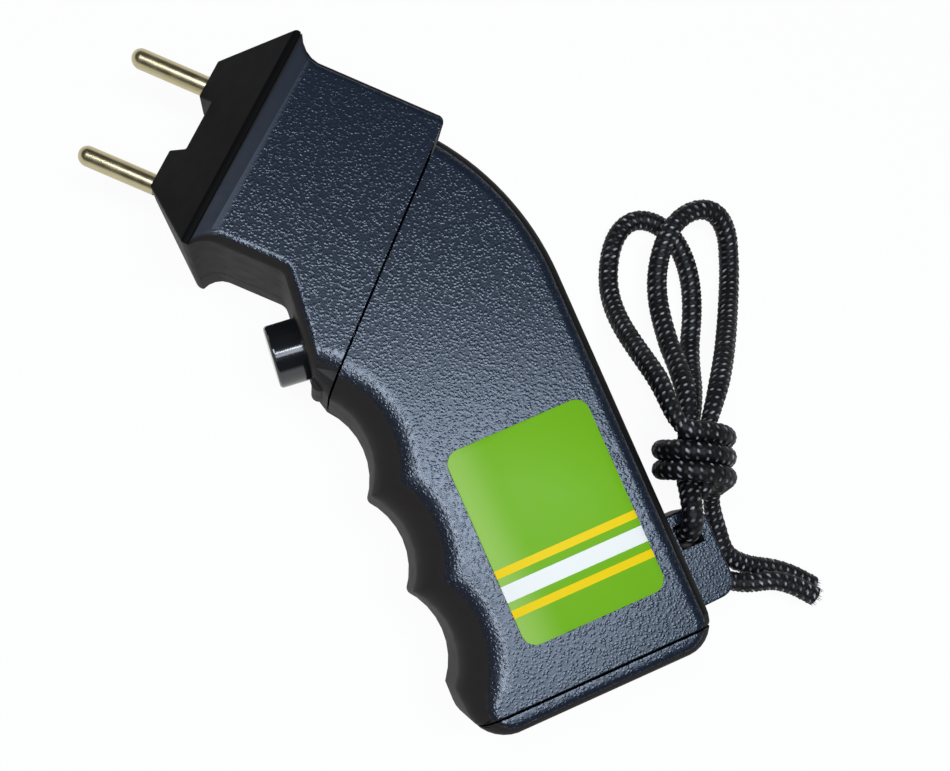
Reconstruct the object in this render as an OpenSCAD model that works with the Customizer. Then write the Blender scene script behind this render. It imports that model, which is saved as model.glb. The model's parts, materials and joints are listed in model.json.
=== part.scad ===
// Hand-held cattle prodder, lying on its back cover with the labelled side up.
// X runs forward along the prongs, Y towards the button and the finger grooves, Z up.
// The origin lies on the back face, where the prong line crosses the seam of head and grip.

/* [Casing] */
// Thickness of the casing, back face to labelled side
casing_t = 34; // [33:0.5:38]
// Height of the parting line above the back face
parting_z = 9; // [8.8:0.1:9.4]
// Wall of the moulded shells
wall = 2.4; // [2:0.1:2.8]

/* [Head] */
// Length of the head on the prong line, seam to rim
head_l = 35; // [34:0.5:40]
// Prong line to the top of the head
head_top = 20; // [19:0.5:23]
// Prong line to the underside of the head
head_drop = 22; // [21:0.5:24]
// Rounding of the head's long edges
head_edge_r = 2; // [1:0.1:2.2]
// Rounding of the edge beside the button
face_edge_r = 2.5; // [1:0.1:3]
// Flare of the rim beyond the head
rim_flare = 3.3; // [2:0.1:4.5]
// Length of the flared run
rim_run = 5; // [4.6:0.1:7]
// Rise of the rim above the labelled side
rim_lift = 1; // [0.2:0.1:2]
// Slant of the rim against the prongs, in degrees
rim_slant = 4.8; // [0:0.1:7]
// Rounding of the head's upper rear corner
rear_corner_r = 2.5; // [1:0.1:4]

/* [Grip] */
// Direction of the grip from the prong direction, in degrees
grip_angle = 136.4; // [132:0.2:140]
// Start of the finger grooves at the seam, measured from the prong line
groove_y = 41.3; // [40:0.1:43]
// Length of the grip from there to its base
grip_l = 77; // [76:0.5:84]
// Depth of the grip, finger ridges to back
grip_w = 53.2; // [52:0.2:57]
// Distance between finger ridges
finger_pitch = 21.6; // [20:0.1:22.4]
// Depth of a finger groove
finger_depth = 3.95; // [2.5:0.05:4.6]
// Rounding of the grip on the finger side
front_edge_r = 10; // [7:0.1:10.5]
// Rounding of the grip's back
back_edge_r = 4.5; // [3:0.1:5.5]
// Radius of the bend between head and grip along the back
back_bend_r = 58; // [56:0.5:62]
// Radius of the base's corners, seen from the labelled side
base_corner_r = 7.5; // [7.2:0.1:9]
// Rounding of the base's edge
base_edge_r = 2.5; // [1:0.1:3]
// Thickness of the base cap
base_cap_t = 4; // [3:0.1:5]

/* [Prongs and nose] */
// Diameter of a prong
prong_d = 4.4; // [3:0.1:5]
// Distance between the prongs
prong_pitch = 24; // [20:0.5:25]
// Length of a prong outside the nose
prong_out = 18; // [10:0.5:30]
// Length of the nose on the prong line, rim to boss face
nose_l = 15.8; // [13:0.1:20]
// Thickness of the nose's rim plate
rim_plate_t = 1.5; // [1:0.1:2.5]
// Height of a prong boss
boss_h = 3.8; // [2:0.1:5]
// Thickness of the nose at its front edge
nose_tip_t = 9.4; // [8:0.1:12]

/* [Button] */
// Diameter of the push button
button_d = 13.6; // [11:0.1:14]
// Height of the button above its face
button_out = 7; // [4:0.1:8]
// Travel of the button
button_travel = 2.5; // [1:0.1:3]
// Direction that the button faces, from the prong direction, in degrees
button_angle = 40; // [38:0.5:42]
// Distance of the button's face from the origin
face_dist = 28; // [27:0.1:29]
// Place of the button along its face
button_along = 18.3; // [17.6:0.1:19]

/* [Ear and label] */
// How far the strap ear stands out from the back
ear_out = 11; // [10.5:0.1:13]
// Length of the ear along the grip
ear_l = 20.5; // [18:0.1:24]
// Distance of the ear from the base
ear_base_gap = 6; // [5.6:0.1:9]
// Height of the ear's lower face
ear_z = 11.6; // [11:0.1:12]
// Thickness of the ear
ear_t = 9.8; // [9:0.1:10]
// Width of the label
label_w = 31; // [20:0.5:32]
// Length of the label
label_l = 42; // [30:0.5:46]
// Corner radius of the label
label_r = 3; // [1:0.1:6]
// Thickness of the label
label_t = 0.4; // [0.2:0.1:1]

/* [Battery] */
// Length of the battery's case
battery_l = 45.5; // [44:0.1:46]
// Width of the battery
battery_w = 26.5; // [25:0.1:27]
// Thickness of the battery
battery_t = 17.5; // [16:0.1:17.8]

/* [Hidden] */
$fn = 48;

// Colours
shell_black = "#202327";
nose_black = "#161616";
gloss_black = "#101214";
brass = "#a59a6a";
label_green = "#77b52f";
steel_grey = "#9aa0a6";
board_green = "#2f6b45";
cord_black = "#1b1b1d";

// Shared sizes
overrun = 1;
part_gap = 0.3;
run_gap = 0.08;
hole_gap = 0.1;
mid_z = casing_t / 2;
near_z = casing_t - wall;
round_steps = 6;
groove_steps = 8;
corner_steps = 8;
finger_count = floor((grip_l - base_corner_r) / finger_pitch);
flare_steps = 4;
face_steps = 4;

// Directions in the plan
function dir(a) = [cos(a), sin(a)];
function lift(p, z) = [p[0], p[1], z];
grip_u = dir(grip_angle);
grip_v = dir(grip_angle - 90);
function grip_at(s, t) = [0, groove_y] + s * grip_u + t * grip_v;
face_n = dir(button_angle);
face_w = dir(button_angle + 90);
function face_at(h, w) = (face_dist + h) * face_n + w * face_w;

// Places things in the grip's own frame: X along the grip, Y out of the finger side
module on_grip() {
  translate([0, groove_y, 0])
    rotate([0, 0, grip_angle])
      mirror([0, 1, 0])
        children();
}

// Places things on the button's axis: Z out of the face, X along the casing's thickness
module on_button() {
  translate(lift(face_at(0, button_along), mid_z))
    rotate([0, 0, button_angle])
      rotate([0, 90, 0])
        children();
}

// Outline of the grip, from its base to the seam, inset by d
groove_r = (finger_pitch * finger_pitch / 4 + finger_depth * finger_depth) / (2 * finger_depth);
groove_n = finger_count * groove_steps;
grip_n = corner_steps + groove_n + 2;
inward_a = grip_angle + 90;
bend_start_s = -4.6;
straight_steps = 10;

function groove_centre(j) = grip_at(finger_pitch * (j + 0.5), groove_r - finger_depth);
function groove_low_a(j, d) =
  j == finger_count - 1
    ? inward_a - acos((groove_r - finger_depth + d) / (groove_r + d))
    : inward_a - asin(finger_pitch / 2 / (groove_r + d));
function groove_high_a(j, d) =
  j == 0
    ? 270 - asin(groove_centre(0)[0] / (groove_r + d))
    : inward_a + asin(finger_pitch / 2 / (groove_r + d));
function groove_point(j, share, d) =
  let (low = groove_low_a(j, d))
  let (high = groove_high_a(j, d))
    groove_centre(j) + (groove_r + d) * dir(low + share * (high - low));
function grip_front(i, d) =
  i <= corner_steps
    ? grip_at(grip_l - base_corner_r, -base_corner_r)
        + (base_corner_r - d) * dir(grip_angle - 90 * i / corner_steps)
    : let (q = i - corner_steps - 1)
      let (back_j = min(floor(q / groove_steps), finger_count - 1))
        groove_point(finger_count - 1 - back_j, q / groove_steps - back_j, d);

bend_centre = grip_at(bend_start_s, back_bend_r - grip_w);
function grip_back(i, d) =
  i <= corner_steps
    ? grip_at(grip_l - base_corner_r, base_corner_r - grip_w)
        + (base_corner_r - d) * dir(grip_angle + 90 * i / corner_steps)
    : let (q = i - corner_steps)
      let (straight_l = grip_l - base_corner_r - bend_start_s)
      let (top_a = 270 - asin(bend_centre[0] / (back_bend_r - d)))
        q <= straight_steps
          ? grip_at(bend_start_s + straight_l * (1 - q / straight_steps), d - grip_w)
          : let (share = (q - straight_steps) / (groove_n + 1 - straight_steps))
              bend_centre + (back_bend_r - d) * dir(inward_a + share * (top_a - inward_a));

// Edge rounding along the grip: the corners blend from the base's rounding
corner_front_r = 7;
seam_front_r = 8;
function blend(a, b, share) = a + (b - a) * share;
function grip_front_r(i) =
  i <= corner_steps
    ? blend(base_edge_r, corner_front_r, i / corner_steps)
    : blend(front_edge_r, seam_front_r, max(0, (i - grip_n + 1) / groove_steps + 1));
function grip_back_r(i) =
  i <= corner_steps ? blend(base_edge_r, back_edge_r, i / corner_steps) : back_edge_r;

// Outline of the head, from the seam to the rim, inset by d
function rim_x(y) = head_l + y * tan(rim_slant);
flare_r = (rim_run * rim_run + rim_flare * rim_flare) / (2 * rim_flare);
flare_a = asin(rim_run / flare_r);
rim_top_y = -head_top - rim_flare;
rim_low_y = head_drop + rim_flare;
face_fillet_r = 3;
chin_along = 27.4;
chin_ease_along = 19.5;
chin = face_at(0, chin_along);
chin_along_share = 0.73;
chin_in_share = 0.25;
chin_way = -chin_along_share * face_w - chin_in_share * face_n;
fold = [(face_dist - head_drop * sin(button_angle)) / cos(button_angle), head_drop];
fold_turn = 90 - button_angle;
fold_reach = face_fillet_r * tan(fold_turn / 2);
fold_centre = fold + [fold_reach, face_fillet_r];
head_n = 5 + face_steps + flare_steps;
function flare_at(k) =
  let (a = flare_a * k / flare_steps)
    flare_r * [sin(a), 1 - cos(a)];
head_top_outline = [
  for (i = [0:head_n - 1])
    let (k = i - head_n + 1 + flare_steps)
    let (start = rim_x(rim_top_y) - rim_run)
      k <= 0
        ? [start * i / (head_n - 1 - flare_steps), -head_top]
        : [start + flare_at(k)[0], -head_top - flare_at(k)[1]]
];
head_low_outline = concat(
  [[0, groove_y], chin, face_at(0, chin_ease_along)],
  [
    for (k = [0:face_steps])
      fold_centre + face_fillet_r * dir(270 - fold_turn * (1 - k / face_steps))
  ],
  [
    for (k = [0:flare_steps])
      [rim_x(rim_low_y) - rim_run + flare_at(k)[0], head_drop + flare_at(k)[1]]
  ]
);
function unit(p) = p / norm(p);
function left_of(p, q) = let (e = unit(q - p)) [-e[1], e[0]];
function along_seam(n) = [0, 1 / n[1]];
function along_rim(n) = let (e = dir(90 - rim_slant)) e / (e * n);
function inset_way(line, i, side) =
  let (last = len(line) - 1)
  let (before = side * left_of(line[max(i - 1, 0)], line[max(i, 1)]))
  let (after = side * left_of(line[min(i, last - 1)], line[min(i + 1, last)]))
    i == 0 ? along_seam(after)
    : i == last ? along_rim(before)
    : (before + after) / (1 + before * after);
function head_upper(i, d) = head_top_outline[i] + d * inset_way(head_top_outline, i, 1);
function head_lower(i, d) =
  head_low_outline[i] + d * (i == 1 ? chin_way : inset_way(head_low_outline, i, -1));
rim_edge_r = 0.4;
chin_edge_r = 8;
function flare_share(i) = max(0, (i - head_n + 1 + flare_steps) / flare_steps);
function head_upper_r(i) = blend(head_edge_r, rim_edge_r, flare_share(i));
function head_lower_r(i) =
  i == 0 ? seam_front_r
  : i == 1 ? chin_edge_r
  : blend(face_edge_r, rim_edge_r, flare_share(i));
function head_rise(i) = rim_lift * flare_share(i) * flare_share(i);

// A closed body between two chains of n points. A ring is a loop round both chains,
// and the flat ends are ladders from one chain to the other.
function ring(n, f_a, f_b) = concat([for (i = [0:n - 1]) f_a(i)], [for (i = [n - 1:-1:0]) f_b(i)]);
function tri(a, b, c, flip) = flip ? [a, c, b] : [a, b, c];
function end_faces(n, first, flip) = [
  for (i = [0:n - 2])
    each [
      tri(first + i, first + i + 1, first + 2 * n - 2 - i, flip),
      tri(first + i, first + 2 * n - 2 - i, first + 2 * n - 1 - i, flip)
    ]
];
function side_faces(m, rings, flip) = [
  for (k = [0:rings - 2])
    for (i = [0:m - 1])
      let (a = k * m + i)
      let (b = k * m + (i + 1) % m)
        each [tri(a, a + m, b + m, flip), tri(a, b + m, b, flip)]
];
module ladder_body(n, rings) {
  polyhedron(
    points = [for (r = rings) each r],
    faces = concat(
      end_faces(n, 0, false),
      side_faces(2 * n, len(rings), false),
      end_faces(n, 2 * n * (len(rings) - 1), true)
    )
  );
}

// Rings of a rounded edge. share runs from 0 at the side wall to 1 at the flat face.
function round_in(r, share) = r * (1 - cos(90 * share));
function round_up(r, share) = r * sin(90 * share);
function near_ring(n, a, b, ra, rb, rise, share) =
  ring(
    n,
    function (i) lift(a(i, round_in(ra(i), share)), casing_t + rise(i) - ra(i) + round_up(ra(i), share)),
    function (i) lift(b(i, round_in(rb(i), share)), casing_t + rise(i) - rb(i) + round_up(rb(i), share))
  );
far_limit_share = 0.94;
function far_r(r) = min(r, parting_z * far_limit_share);
function far_ring(n, a, b, ra, rb, share) =
  ring(
    n,
    function (i) lift(a(i, round_in(far_r(ra(i)), share)), far_r(ra(i)) - round_up(far_r(ra(i)), share)),
    function (i) lift(b(i, round_in(far_r(rb(i)), share)), far_r(rb(i)) - round_up(far_r(rb(i)), share))
  );
function flat_ring(n, a, b, z) =
  ring(n, function (i) lift(a(i, 0), z), function (i) lift(b(i, 0), z));
function near_rings(n, a, b, ra, rb, rise) = [
  for (k = [0:round_steps]) near_ring(n, a, b, ra, rb, rise, k / round_steps)
];
function far_rings(n, a, b, ra, rb) = [
  for (k = [round_steps:-1:0]) far_ring(n, a, b, ra, rb, k / round_steps)
];

level = function (i) 0;

module head_near_body() {
  up = function (i, d) head_upper(i, d);
  low = function (i, d) head_lower(i, d);
  up_r = function (i) head_upper_r(i);
  low_r = function (i) head_lower_r(i);
  rise = function (i) head_rise(i);
  ladder_body(head_n, concat(
    [flat_ring(head_n, up, low, parting_z)],
    near_rings(head_n, up, low, up_r, low_r, rise)
  ));
}
module grip_near_body() {
  back = function (i, d) grip_back(i, d);
  front = function (i, d) grip_front(i, d);
  back_r = function (i) grip_back_r(i);
  front_r = function (i) grip_front_r(i);
  ladder_body(grip_n, concat(
    [flat_ring(grip_n, back, front, parting_z)],
    near_rings(grip_n, back, front, back_r, front_r, level)
  ));
}
module grip_full_body() {
  back = function (i, d) grip_back(i, d);
  front = function (i, d) grip_front(i, d);
  back_r = function (i) grip_back_r(i);
  front_r = function (i) grip_front_r(i);
  ladder_body(grip_n, concat(
    far_rings(grip_n, back, front, back_r, front_r),
    near_rings(grip_n, back, front, back_r, front_r, level)
  ));
}
module head_far_body() {
  up = function (i, d) head_upper(i, d);
  low = function (i, d) head_lower(i, d);
  up_r = function (i) head_upper_r(i);
  low_r = function (i) head_lower_r(i);
  ladder_body(head_n, concat(
    far_rings(head_n, up, low, up_r, low_r),
    [flat_ring(head_n, up, low, parting_z)]
  ));
}
module grip_far_body() {
  back = function (i, d) grip_back(i, d);
  front = function (i, d) grip_front(i, d);
  back_r = function (i) grip_back_r(i);
  front_r = function (i) grip_front_r(i);
  ladder_body(grip_n, concat(
    far_rings(grip_n, back, front, back_r, front_r),
    [flat_ring(grip_n, back, front, parting_z)]
  ));
}

// Hollows of the grip and the head, open to each other at the seam
finger_wall = 5.8;
cap_seam_s = grip_l - base_cap_t;
hollow_t = casing_t - 2 * wall;
pad_t = 1.7;
battery_s = cap_seam_s - pad_t - part_gap - battery_l;
battery_t_mid = (wall - grip_w - finger_wall - finger_depth) / 2;
grip_inner_top = grip_back(grip_n - 1, wall)[1];
grip_inner_low = grip_front(grip_n - 1, finger_wall)[1];
head_inner_x = rim_x(rim_top_y) - wall;
function face_x(y, inset) = (face_dist - inset - y * sin(button_angle)) / cos(button_angle);
module grip_hollow() {
  front = [for (i = [corner_steps + 1:grip_n - 1]) grip_front(i, finger_wall)];
  back = [for (i = [grip_n - 1:-1:corner_steps]) grip_back(i, wall)];
  mouth = [
    grip_at(grip_l, wall - grip_w),
    grip_at(grip_l, -finger_wall)
  ];
  past_seam = [[overrun, grip_inner_low], [overrun, grip_inner_top]];
  translate([0, 0, wall])
    linear_extrude(hollow_t)
      polygon(concat(front, past_seam, back, mouth));
}
module head_hollow() {
  low_y = head_drop - wall;
  translate([0, 0, wall])
    linear_extrude(hollow_t)
      polygon([
        [-overrun, grip_inner_top],
        [wall, grip_inner_top],
        [wall, wall - head_top],
        [head_inner_x, wall - head_top],
        [head_inner_x, low_y],
        [face_x(low_y, wall), low_y],
        [face_x(grip_inner_low, wall), grip_inner_low],
        [-overrun, grip_inner_low]
      ]);
}
// Everything beyond the cap's seam, moved along the grip by a gap
module beyond_cap(gap) {
  on_grip()
    translate([cap_seam_s + gap, -grip_w - overrun, -overrun])
      cube([base_cap_t + overrun, grip_w + 2 * overrun, casing_t + 2 * overrun]);
}
// Leaves the rounding of the head's upper rear corner
module rear_corner_cut() {
  translate([0, -head_top, -overrun])
    difference() {
      translate([-overrun, -overrun, 0])
        cube([rear_corner_r + overrun, rear_corner_r + overrun, casing_t + 2 * overrun]);
      translate([rear_corner_r, rear_corner_r, -overrun])
        cylinder(r = rear_corner_r, h = casing_t + 4 * overrun);
    }
}

// Screw posts: places in the head, then in the grip's own frame
post_r = 2.9;
post_side = 4;
front_post_in = 10.1;
rear_post_x = 5.6;
head_post_y = post_side + wall - head_top;
head_posts = [[head_inner_x - front_post_in, head_post_y], [rear_post_x, head_post_y]];
back_post_side = 6.6;
finger_post_side = 2.5;
bend_post_gap = 27.5;
battery_post_gap = 10.5;
base_post_gap = 7.4;
grip_posts = [
  [battery_s - bend_post_gap, back_post_side - grip_w],
  [battery_s - battery_post_gap, back_post_side - grip_w],
  [cap_seam_s - base_post_gap, -finger_wall - finger_post_side]
];
post_foot = 0.8;
post_root = 0.6;
screw_r = 1.45;
screw_l = 16;
screw_head_r = 2.6;
screw_head_t = 2;
screw_seat_z = 5;
screw_head_share = 0.6;
module at_head_posts() {
  for (p = head_posts)
    translate(lift(p, 0))
      children();
}
module at_grip_posts() {
  on_grip()
    for (p = grip_posts)
      translate(lift(p, 0))
        children();
}
module near_post() {
  translate([0, 0, parting_z])
    cylinder(r = post_r, h = near_z - parting_z + post_root);
}
module pilot_hole() {
  translate([0, 0, parting_z - overrun])
    cylinder(r = screw_r, h = screw_l + screw_seat_z - parting_z + 2 * overrun);
}
module far_post() {
  translate([0, 0, wall - post_root])
    cylinder(r = post_r + post_foot, h = parting_z - wall + post_root);
}
module screw_way() {
  translate([0, 0, -overrun])
    cylinder(r = screw_r + hole_gap, h = parting_z + 2 * overrun);
  translate([0, 0, -overrun])
    cylinder(r = screw_head_r + hole_gap, h = screw_seat_z + overrun);
}
module casing_screw() {
  translate([0, 0, screw_seat_z])
    cylinder(r = screw_r, h = screw_l);
  difference() {
    translate([0, 0, screw_seat_z - screw_head_t])
      cylinder(r = screw_head_r, h = screw_head_t);
    translate([0, 0, screw_seat_z - screw_head_t - overrun])
      cylinder(r = screw_head_r * screw_head_share, h = overrun * 2, $fn = 6);
  }
}

// Button, its flange and its switch, along the button's axis
button_gap = 0.3;
flange_lip = 0.7;
flange_r = button_d / 2 + flange_lip;
flange_t = 1.5;
flange_top = -wall - part_gap;
flange_low = flange_top - flange_t;
button_round = 0.8;
switch_h = -14;
switch_d = 10;
switch_w = 14;
switch_t = 12;
plunger_r = 1.5;
plunger_l = 13;
bore_spare = 2.3;
switch_bore_l = switch_h - flange_low + plunger_l + button_travel + bore_spare;
terminal_l = 5;
terminal_w = 4;
terminal_t = 0.8;
terminal_pitch = 8;
module button_way() {
  on_button() {
    translate([0, 0, -wall - overrun])
      cylinder(d = button_d + 2 * button_gap, h = wall + 2 * overrun);
    translate([0, 0, switch_h])
      cylinder(r = flange_r + part_gap, h = -wall - switch_h);
  }
}

// Small lug on the chin, below the button
chin_lug_r = 1.7;
chin_lug_in = 0.7;
chin_lug_low = 0.5;
chin_lug_z = 12;
chin_lug_h = 14;
module chin_lug() {
  translate(lift(face_at(-chin_lug_in, chin_along + chin_lug_low), chin_lug_z))
    cylinder(r = chin_lug_r, h = chin_lug_h);
}
module head_shell() {
  color(shell_black)
    difference() {
      union() {
        difference() {
          union() {
            head_near_body();
            chin_lug();
          }
          head_hollow();
        }
        at_head_posts() near_post();
      }
      rear_corner_cut();
      button_way();
      at_head_posts() pilot_hole();
      prong_ways();
    }
}
ear_end = grip_l - ear_base_gap;
ear_start = ear_end - ear_l;
ear_wall = 2.6;
ear_round = 4;
ear_slot_t = 5.3;
ear_slot_l = 5.4;
ear_root = 3;
module ear_block() {
  outer = ear_out - ear_round;
  translate([ear_start, -grip_w - outer, ear_z])
    cube([ear_end - ear_start, outer + ear_root, ear_t]);
  translate([ear_start + ear_round, -grip_w - ear_out, ear_z])
    cube([ear_end - ear_start - 2 * ear_round, ear_out, ear_t]);
  for (s = [ear_start + ear_round, ear_end - ear_round])
    translate([s, -grip_w - outer, ear_z])
      cylinder(r = ear_round, h = ear_t);
}
module ear_slot() {
  translate([ear_start + ear_wall, ear_wall - grip_w - ear_out, ear_z - overrun])
    cube([ear_slot_l, ear_slot_t, ear_t + 2 * overrun]);
}
module grip_shell() {
  color(shell_black)
    difference() {
      union() {
        difference() {
          union() {
            grip_near_body();
            on_grip()
              ear_block();
          }
          grip_hollow();
        }
        at_grip_posts() near_post();
      }
      on_grip()
        ear_slot();
      beyond_cap(-part_gap / 2);
      at_grip_posts() pilot_hole();
    }
}
module back_cover() {
  color(shell_black)
    difference() {
      union() {
        difference() {
          grip_far_body();
          grip_hollow();
        }
        difference() {
          head_far_body();
          head_hollow();
        }
        at_head_posts() far_post();
        at_grip_posts() far_post();
        board_posts();
      }
      rear_corner_cut();
      beyond_cap(-part_gap / 2);
      at_head_posts() screw_way();
      at_grip_posts() screw_way();
    }
}

// Base cap with two tongues that reach into the grip
tongue_t = 1.6;
tongue_l = 4;
tongue_w = 14;
tongue_gap = 0.35;
pad_w = 20;
pad_h = 14;
module tongue(t) {
  translate([cap_seam_s - tongue_l, t, mid_z - tongue_w / 2])
    cube([tongue_l + base_cap_t / 2, tongue_t, tongue_w]);
}
module base_cap() {
  color(shell_black) {
    intersection() {
      grip_full_body();
      beyond_cap(part_gap / 2);
    }
    on_grip() {
      tongue(-finger_wall - tongue_gap - tongue_t);
      tongue(wall - grip_w + tongue_gap);
    }
  }
}
module battery_pad() {
  color(nose_black)
    on_grip()
      translate([cap_seam_s + part_gap / 2 - pad_t, battery_t_mid - pad_w / 2, mid_z - pad_h / 2])
        cube([pad_t, pad_w, pad_h]);
}

// Nose: a plate on the rim that tapers to the two prong bosses
nose_half_w = 15.2;
recess_half_w = 5.6;
recess_slope_share = 0.3;
nose_pocket_l = 9;
nose_pocket_w = 14;
module on_rim() {
  translate([head_l, 0, 0])
    rotate([0, 0, -rim_slant])
      children();
}
module nose_plate(x, low_y, high_y, low_z, high_z, t) {
  translate([x, low_y, low_z])
    cube([t, high_y - low_y, high_z - low_z]);
}
module nose_cap() {
  top = rim_top_y / cos(rim_slant);
  low = rim_low_y / cos(rim_slant);
  high_z = casing_t + rim_lift;
  color(nose_black)
    difference() {
      on_rim()
        difference() {
          hull() {
            nose_plate(0, top, low, 0, high_z, rim_plate_t);
            nose_plate(nose_l - overrun, -nose_half_w, nose_half_w,
              mid_z - nose_tip_t / 2, mid_z + nose_tip_t / 2, overrun);
          }
          translate([0, 0, -overrun])
            linear_extrude(high_z + 2 * overrun)
              polygon([
                [nose_l - boss_h, -recess_half_w],
                [nose_l + overrun, -recess_half_w - boss_h * recess_slope_share],
                [nose_l + overrun, recess_half_w + boss_h * recess_slope_share],
                [nose_l - boss_h, recess_half_w]
              ]);
          translate([-overrun, -nose_pocket_w / 2, mid_z - nose_tip_t / 2])
            cube([nose_pocket_l + overrun, nose_pocket_w, nose_tip_t]);
        }
      prong_ways();
    }
}

// Prongs with domed ends, held by nuts behind the head's front wall
prong_r = prong_d / 2;
prong_shoulder = 0.2;
prong_stem_r = prong_r - prong_shoulder;
prong_in = 6.5;
nut_r = 4.2;
nut_t = 3;
lug_t = 0.6;
lug_r = 3.6;
lug_l = 9;
lug_w = 3;
prong_ys = [-prong_pitch / 2, prong_pitch / 2];
function prong_face_x(y) = rim_x(y) + nose_l / cos(rim_slant);
module along_prong(y, x) {
  translate([x, y, mid_z])
    rotate([0, 90, 0])
      children();
}
module prong_ways() {
  for (y = prong_ys)
    along_prong(y, head_inner_x - overrun)
      cylinder(r = prong_stem_r, h = head_l + nose_l);
}
// The shoulder of a prong rests on its slanted boss face
module prong(y) {
  start = head_inner_x - prong_in;
  stem_l = prong_face_x(y + prong_r) - start;
  l = prong_face_x(y) + prong_out - start;
  color(brass)
    along_prong(y, start)
      rotate_extrude() {
        square([prong_stem_r, stem_l]);
        translate([0, stem_l])
          square([prong_r, l - prong_r - stem_l]);
        translate([0, l - prong_r])
          intersection() {
            circle(r = prong_r);
            square([prong_r, prong_r]);
          }
      }
}
module prong_upper() {
  prong(prong_ys[0]);
}
module prong_lower() {
  prong(prong_ys[1]);
}
module prong_nuts() {
  color(brass)
    for (y = prong_ys)
      along_prong(y, head_inner_x - lug_t - nut_t)
        difference() {
          cylinder(r = nut_r, h = nut_t, $fn = 6);
          translate([0, 0, -overrun])
            cylinder(r = prong_stem_r + hole_gap, h = nut_t + 2 * overrun);
        }
}
module solder_lugs() {
  color(steel_grey)
    for (y = prong_ys)
      along_prong(y, head_inner_x - lug_t)
        difference() {
          union() {
            cylinder(r = lug_r, h = lug_t);
            translate([0, -lug_w / 2, 0])
              cube([lug_l, lug_w, lug_t]);
          }
          translate([0, 0, -overrun])
            cylinder(r = prong_stem_r + hole_gap, h = lug_t + 2 * overrun);
        }
}

module push_button() {
  color(gloss_black)
    on_button()
      rotate_extrude()
        polygon(concat(
          [[0, flange_low], [flange_r, flange_low], [flange_r, flange_top], [button_d / 2, flange_top]],
          [
            for (k = [0:round_steps])
              [button_d / 2 - button_round, button_out - button_round]
                + button_round * dir(90 * k / round_steps)
          ],
          [[0, button_out]]
        ));
}
module switch_plunger() {
  color(nose_black)
    on_button()
      translate([0, 0, flange_low - plunger_l])
        cylinder(r = plunger_r, h = plunger_l);
}
module switch_body() {
  color(gloss_black)
    on_button()
      difference() {
        translate([-switch_t / 2, -switch_w / 2, switch_h - switch_d])
          cube([switch_t, switch_w, switch_d]);
        translate([0, 0, switch_h - switch_bore_l])
          cylinder(r = plunger_r + run_gap, h = switch_bore_l + overrun);
      }
}
module switch_terminals() {
  color(brass)
    on_button()
      for (y = [-terminal_pitch / 2, terminal_pitch / 2])
        translate([-terminal_w / 2, y - terminal_t / 2, switch_h - switch_d - terminal_l])
          cube([terminal_w, terminal_t, terminal_l]);
}
carrier_wall = 2;
module switch_carrier() {
  carrier_h = mid_z - switch_t / 2 - wall;
  color(shell_black)
    on_button()
      translate([switch_t / 2, -switch_w / 2, switch_h - switch_d])
        difference() {
          cube([carrier_h, switch_w, switch_d]);
          translate([-overrun, carrier_wall, carrier_wall])
            cube([carrier_h + 2 * overrun, switch_w - 2 * carrier_wall, switch_d - 2 * carrier_wall]);
        }
}
spring_turns = 5;
spring_rings = 16;
spring_r = 4.2;
spring_wire_r = 0.45;
spring_sides = 6;
module button_spring() {
  high = flange_low - spring_wire_r - run_gap;
  low = switch_h + spring_wire_r;
  n = spring_turns * spring_rings;
  color(steel_grey)
    on_button()
      tube(
        [for (i = [0:n]) lift(spring_r * dir(360 * i / spring_rings), blend(low, high, i / n))],
        [for (i = [0:n]) spring_wire_r],
        spring_sides
      );
}

// Circuit board and what stands on it
board_x = 3;
board_y = -9.6;
board_l = 19.6;
board_w = 26;
board_z = 5;
board_t = 1.6;
board_top = board_z + board_t;
board_post_r = 2;
board_inset = 2.4;
module board_posts() {
  for (x = [board_x + board_inset, board_x + board_l - board_inset])
    for (y = [board_y + board_inset, board_y + board_w - board_inset])
      translate([x, y, wall - post_root])
        cylinder(r = board_post_r, h = board_z - wall + post_root);
}
module circuit_board() {
  color(board_green)
    translate([board_x, board_y, board_z])
      cube([board_l, board_w, board_t]);
}
core_along = 7;
core_x = board_x + core_along;
core_across = 6.2;
core_y = board_y + core_across;
core_l = 8;
core_w = 10;
core_h = 10;
core_limb = 1.6;
core_mid = 2.4;
coil_build = 2;
coil_gap = 0.3;
core_window = (core_w - 2 * core_limb - core_mid) / 2;
module transformer_core() {
  window_h = core_h - 2 * core_limb;
  color("#3a3d40")
    translate([core_x - core_l / 2, core_y - core_w / 2, board_top])
      difference() {
        cube([core_l, core_w, core_h]);
        for (y = [core_limb, core_limb + core_window + core_mid])
          translate([-overrun, y, core_limb])
            cube([core_l + 2 * overrun, core_window, window_h]);
      }
}
module transformer_winding() {
  coil_h = core_h - 2 * core_limb - coil_gap;
  color("#b87333")
    translate([core_x, core_y, board_top + core_limb])
      difference() {
        translate([-core_l / 2 - coil_build, -core_mid / 2 - coil_build, 0])
          cube([core_l + 2 * coil_build, core_mid + 2 * coil_build, coil_h]);
        translate([-core_l / 2, -core_mid / 2, -overrun])
          cube([core_l, core_mid, coil_h + 2 * overrun]);
      }
}
transistor_along = 1.4;
transistor_x = board_x + transistor_along;
transistor_across = 17.8;
transistor_y = board_y + transistor_across;
transistor_l = 9.6;
transistor_w = 4.4;
transistor_h = 9;
tab_t = 1.3;
tab_h = 15;
leg_w = 0.8;
leg_t = 0.6;
leg_h = 4;
leg_n = 3;
leg_pitch = 2.54;
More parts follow.
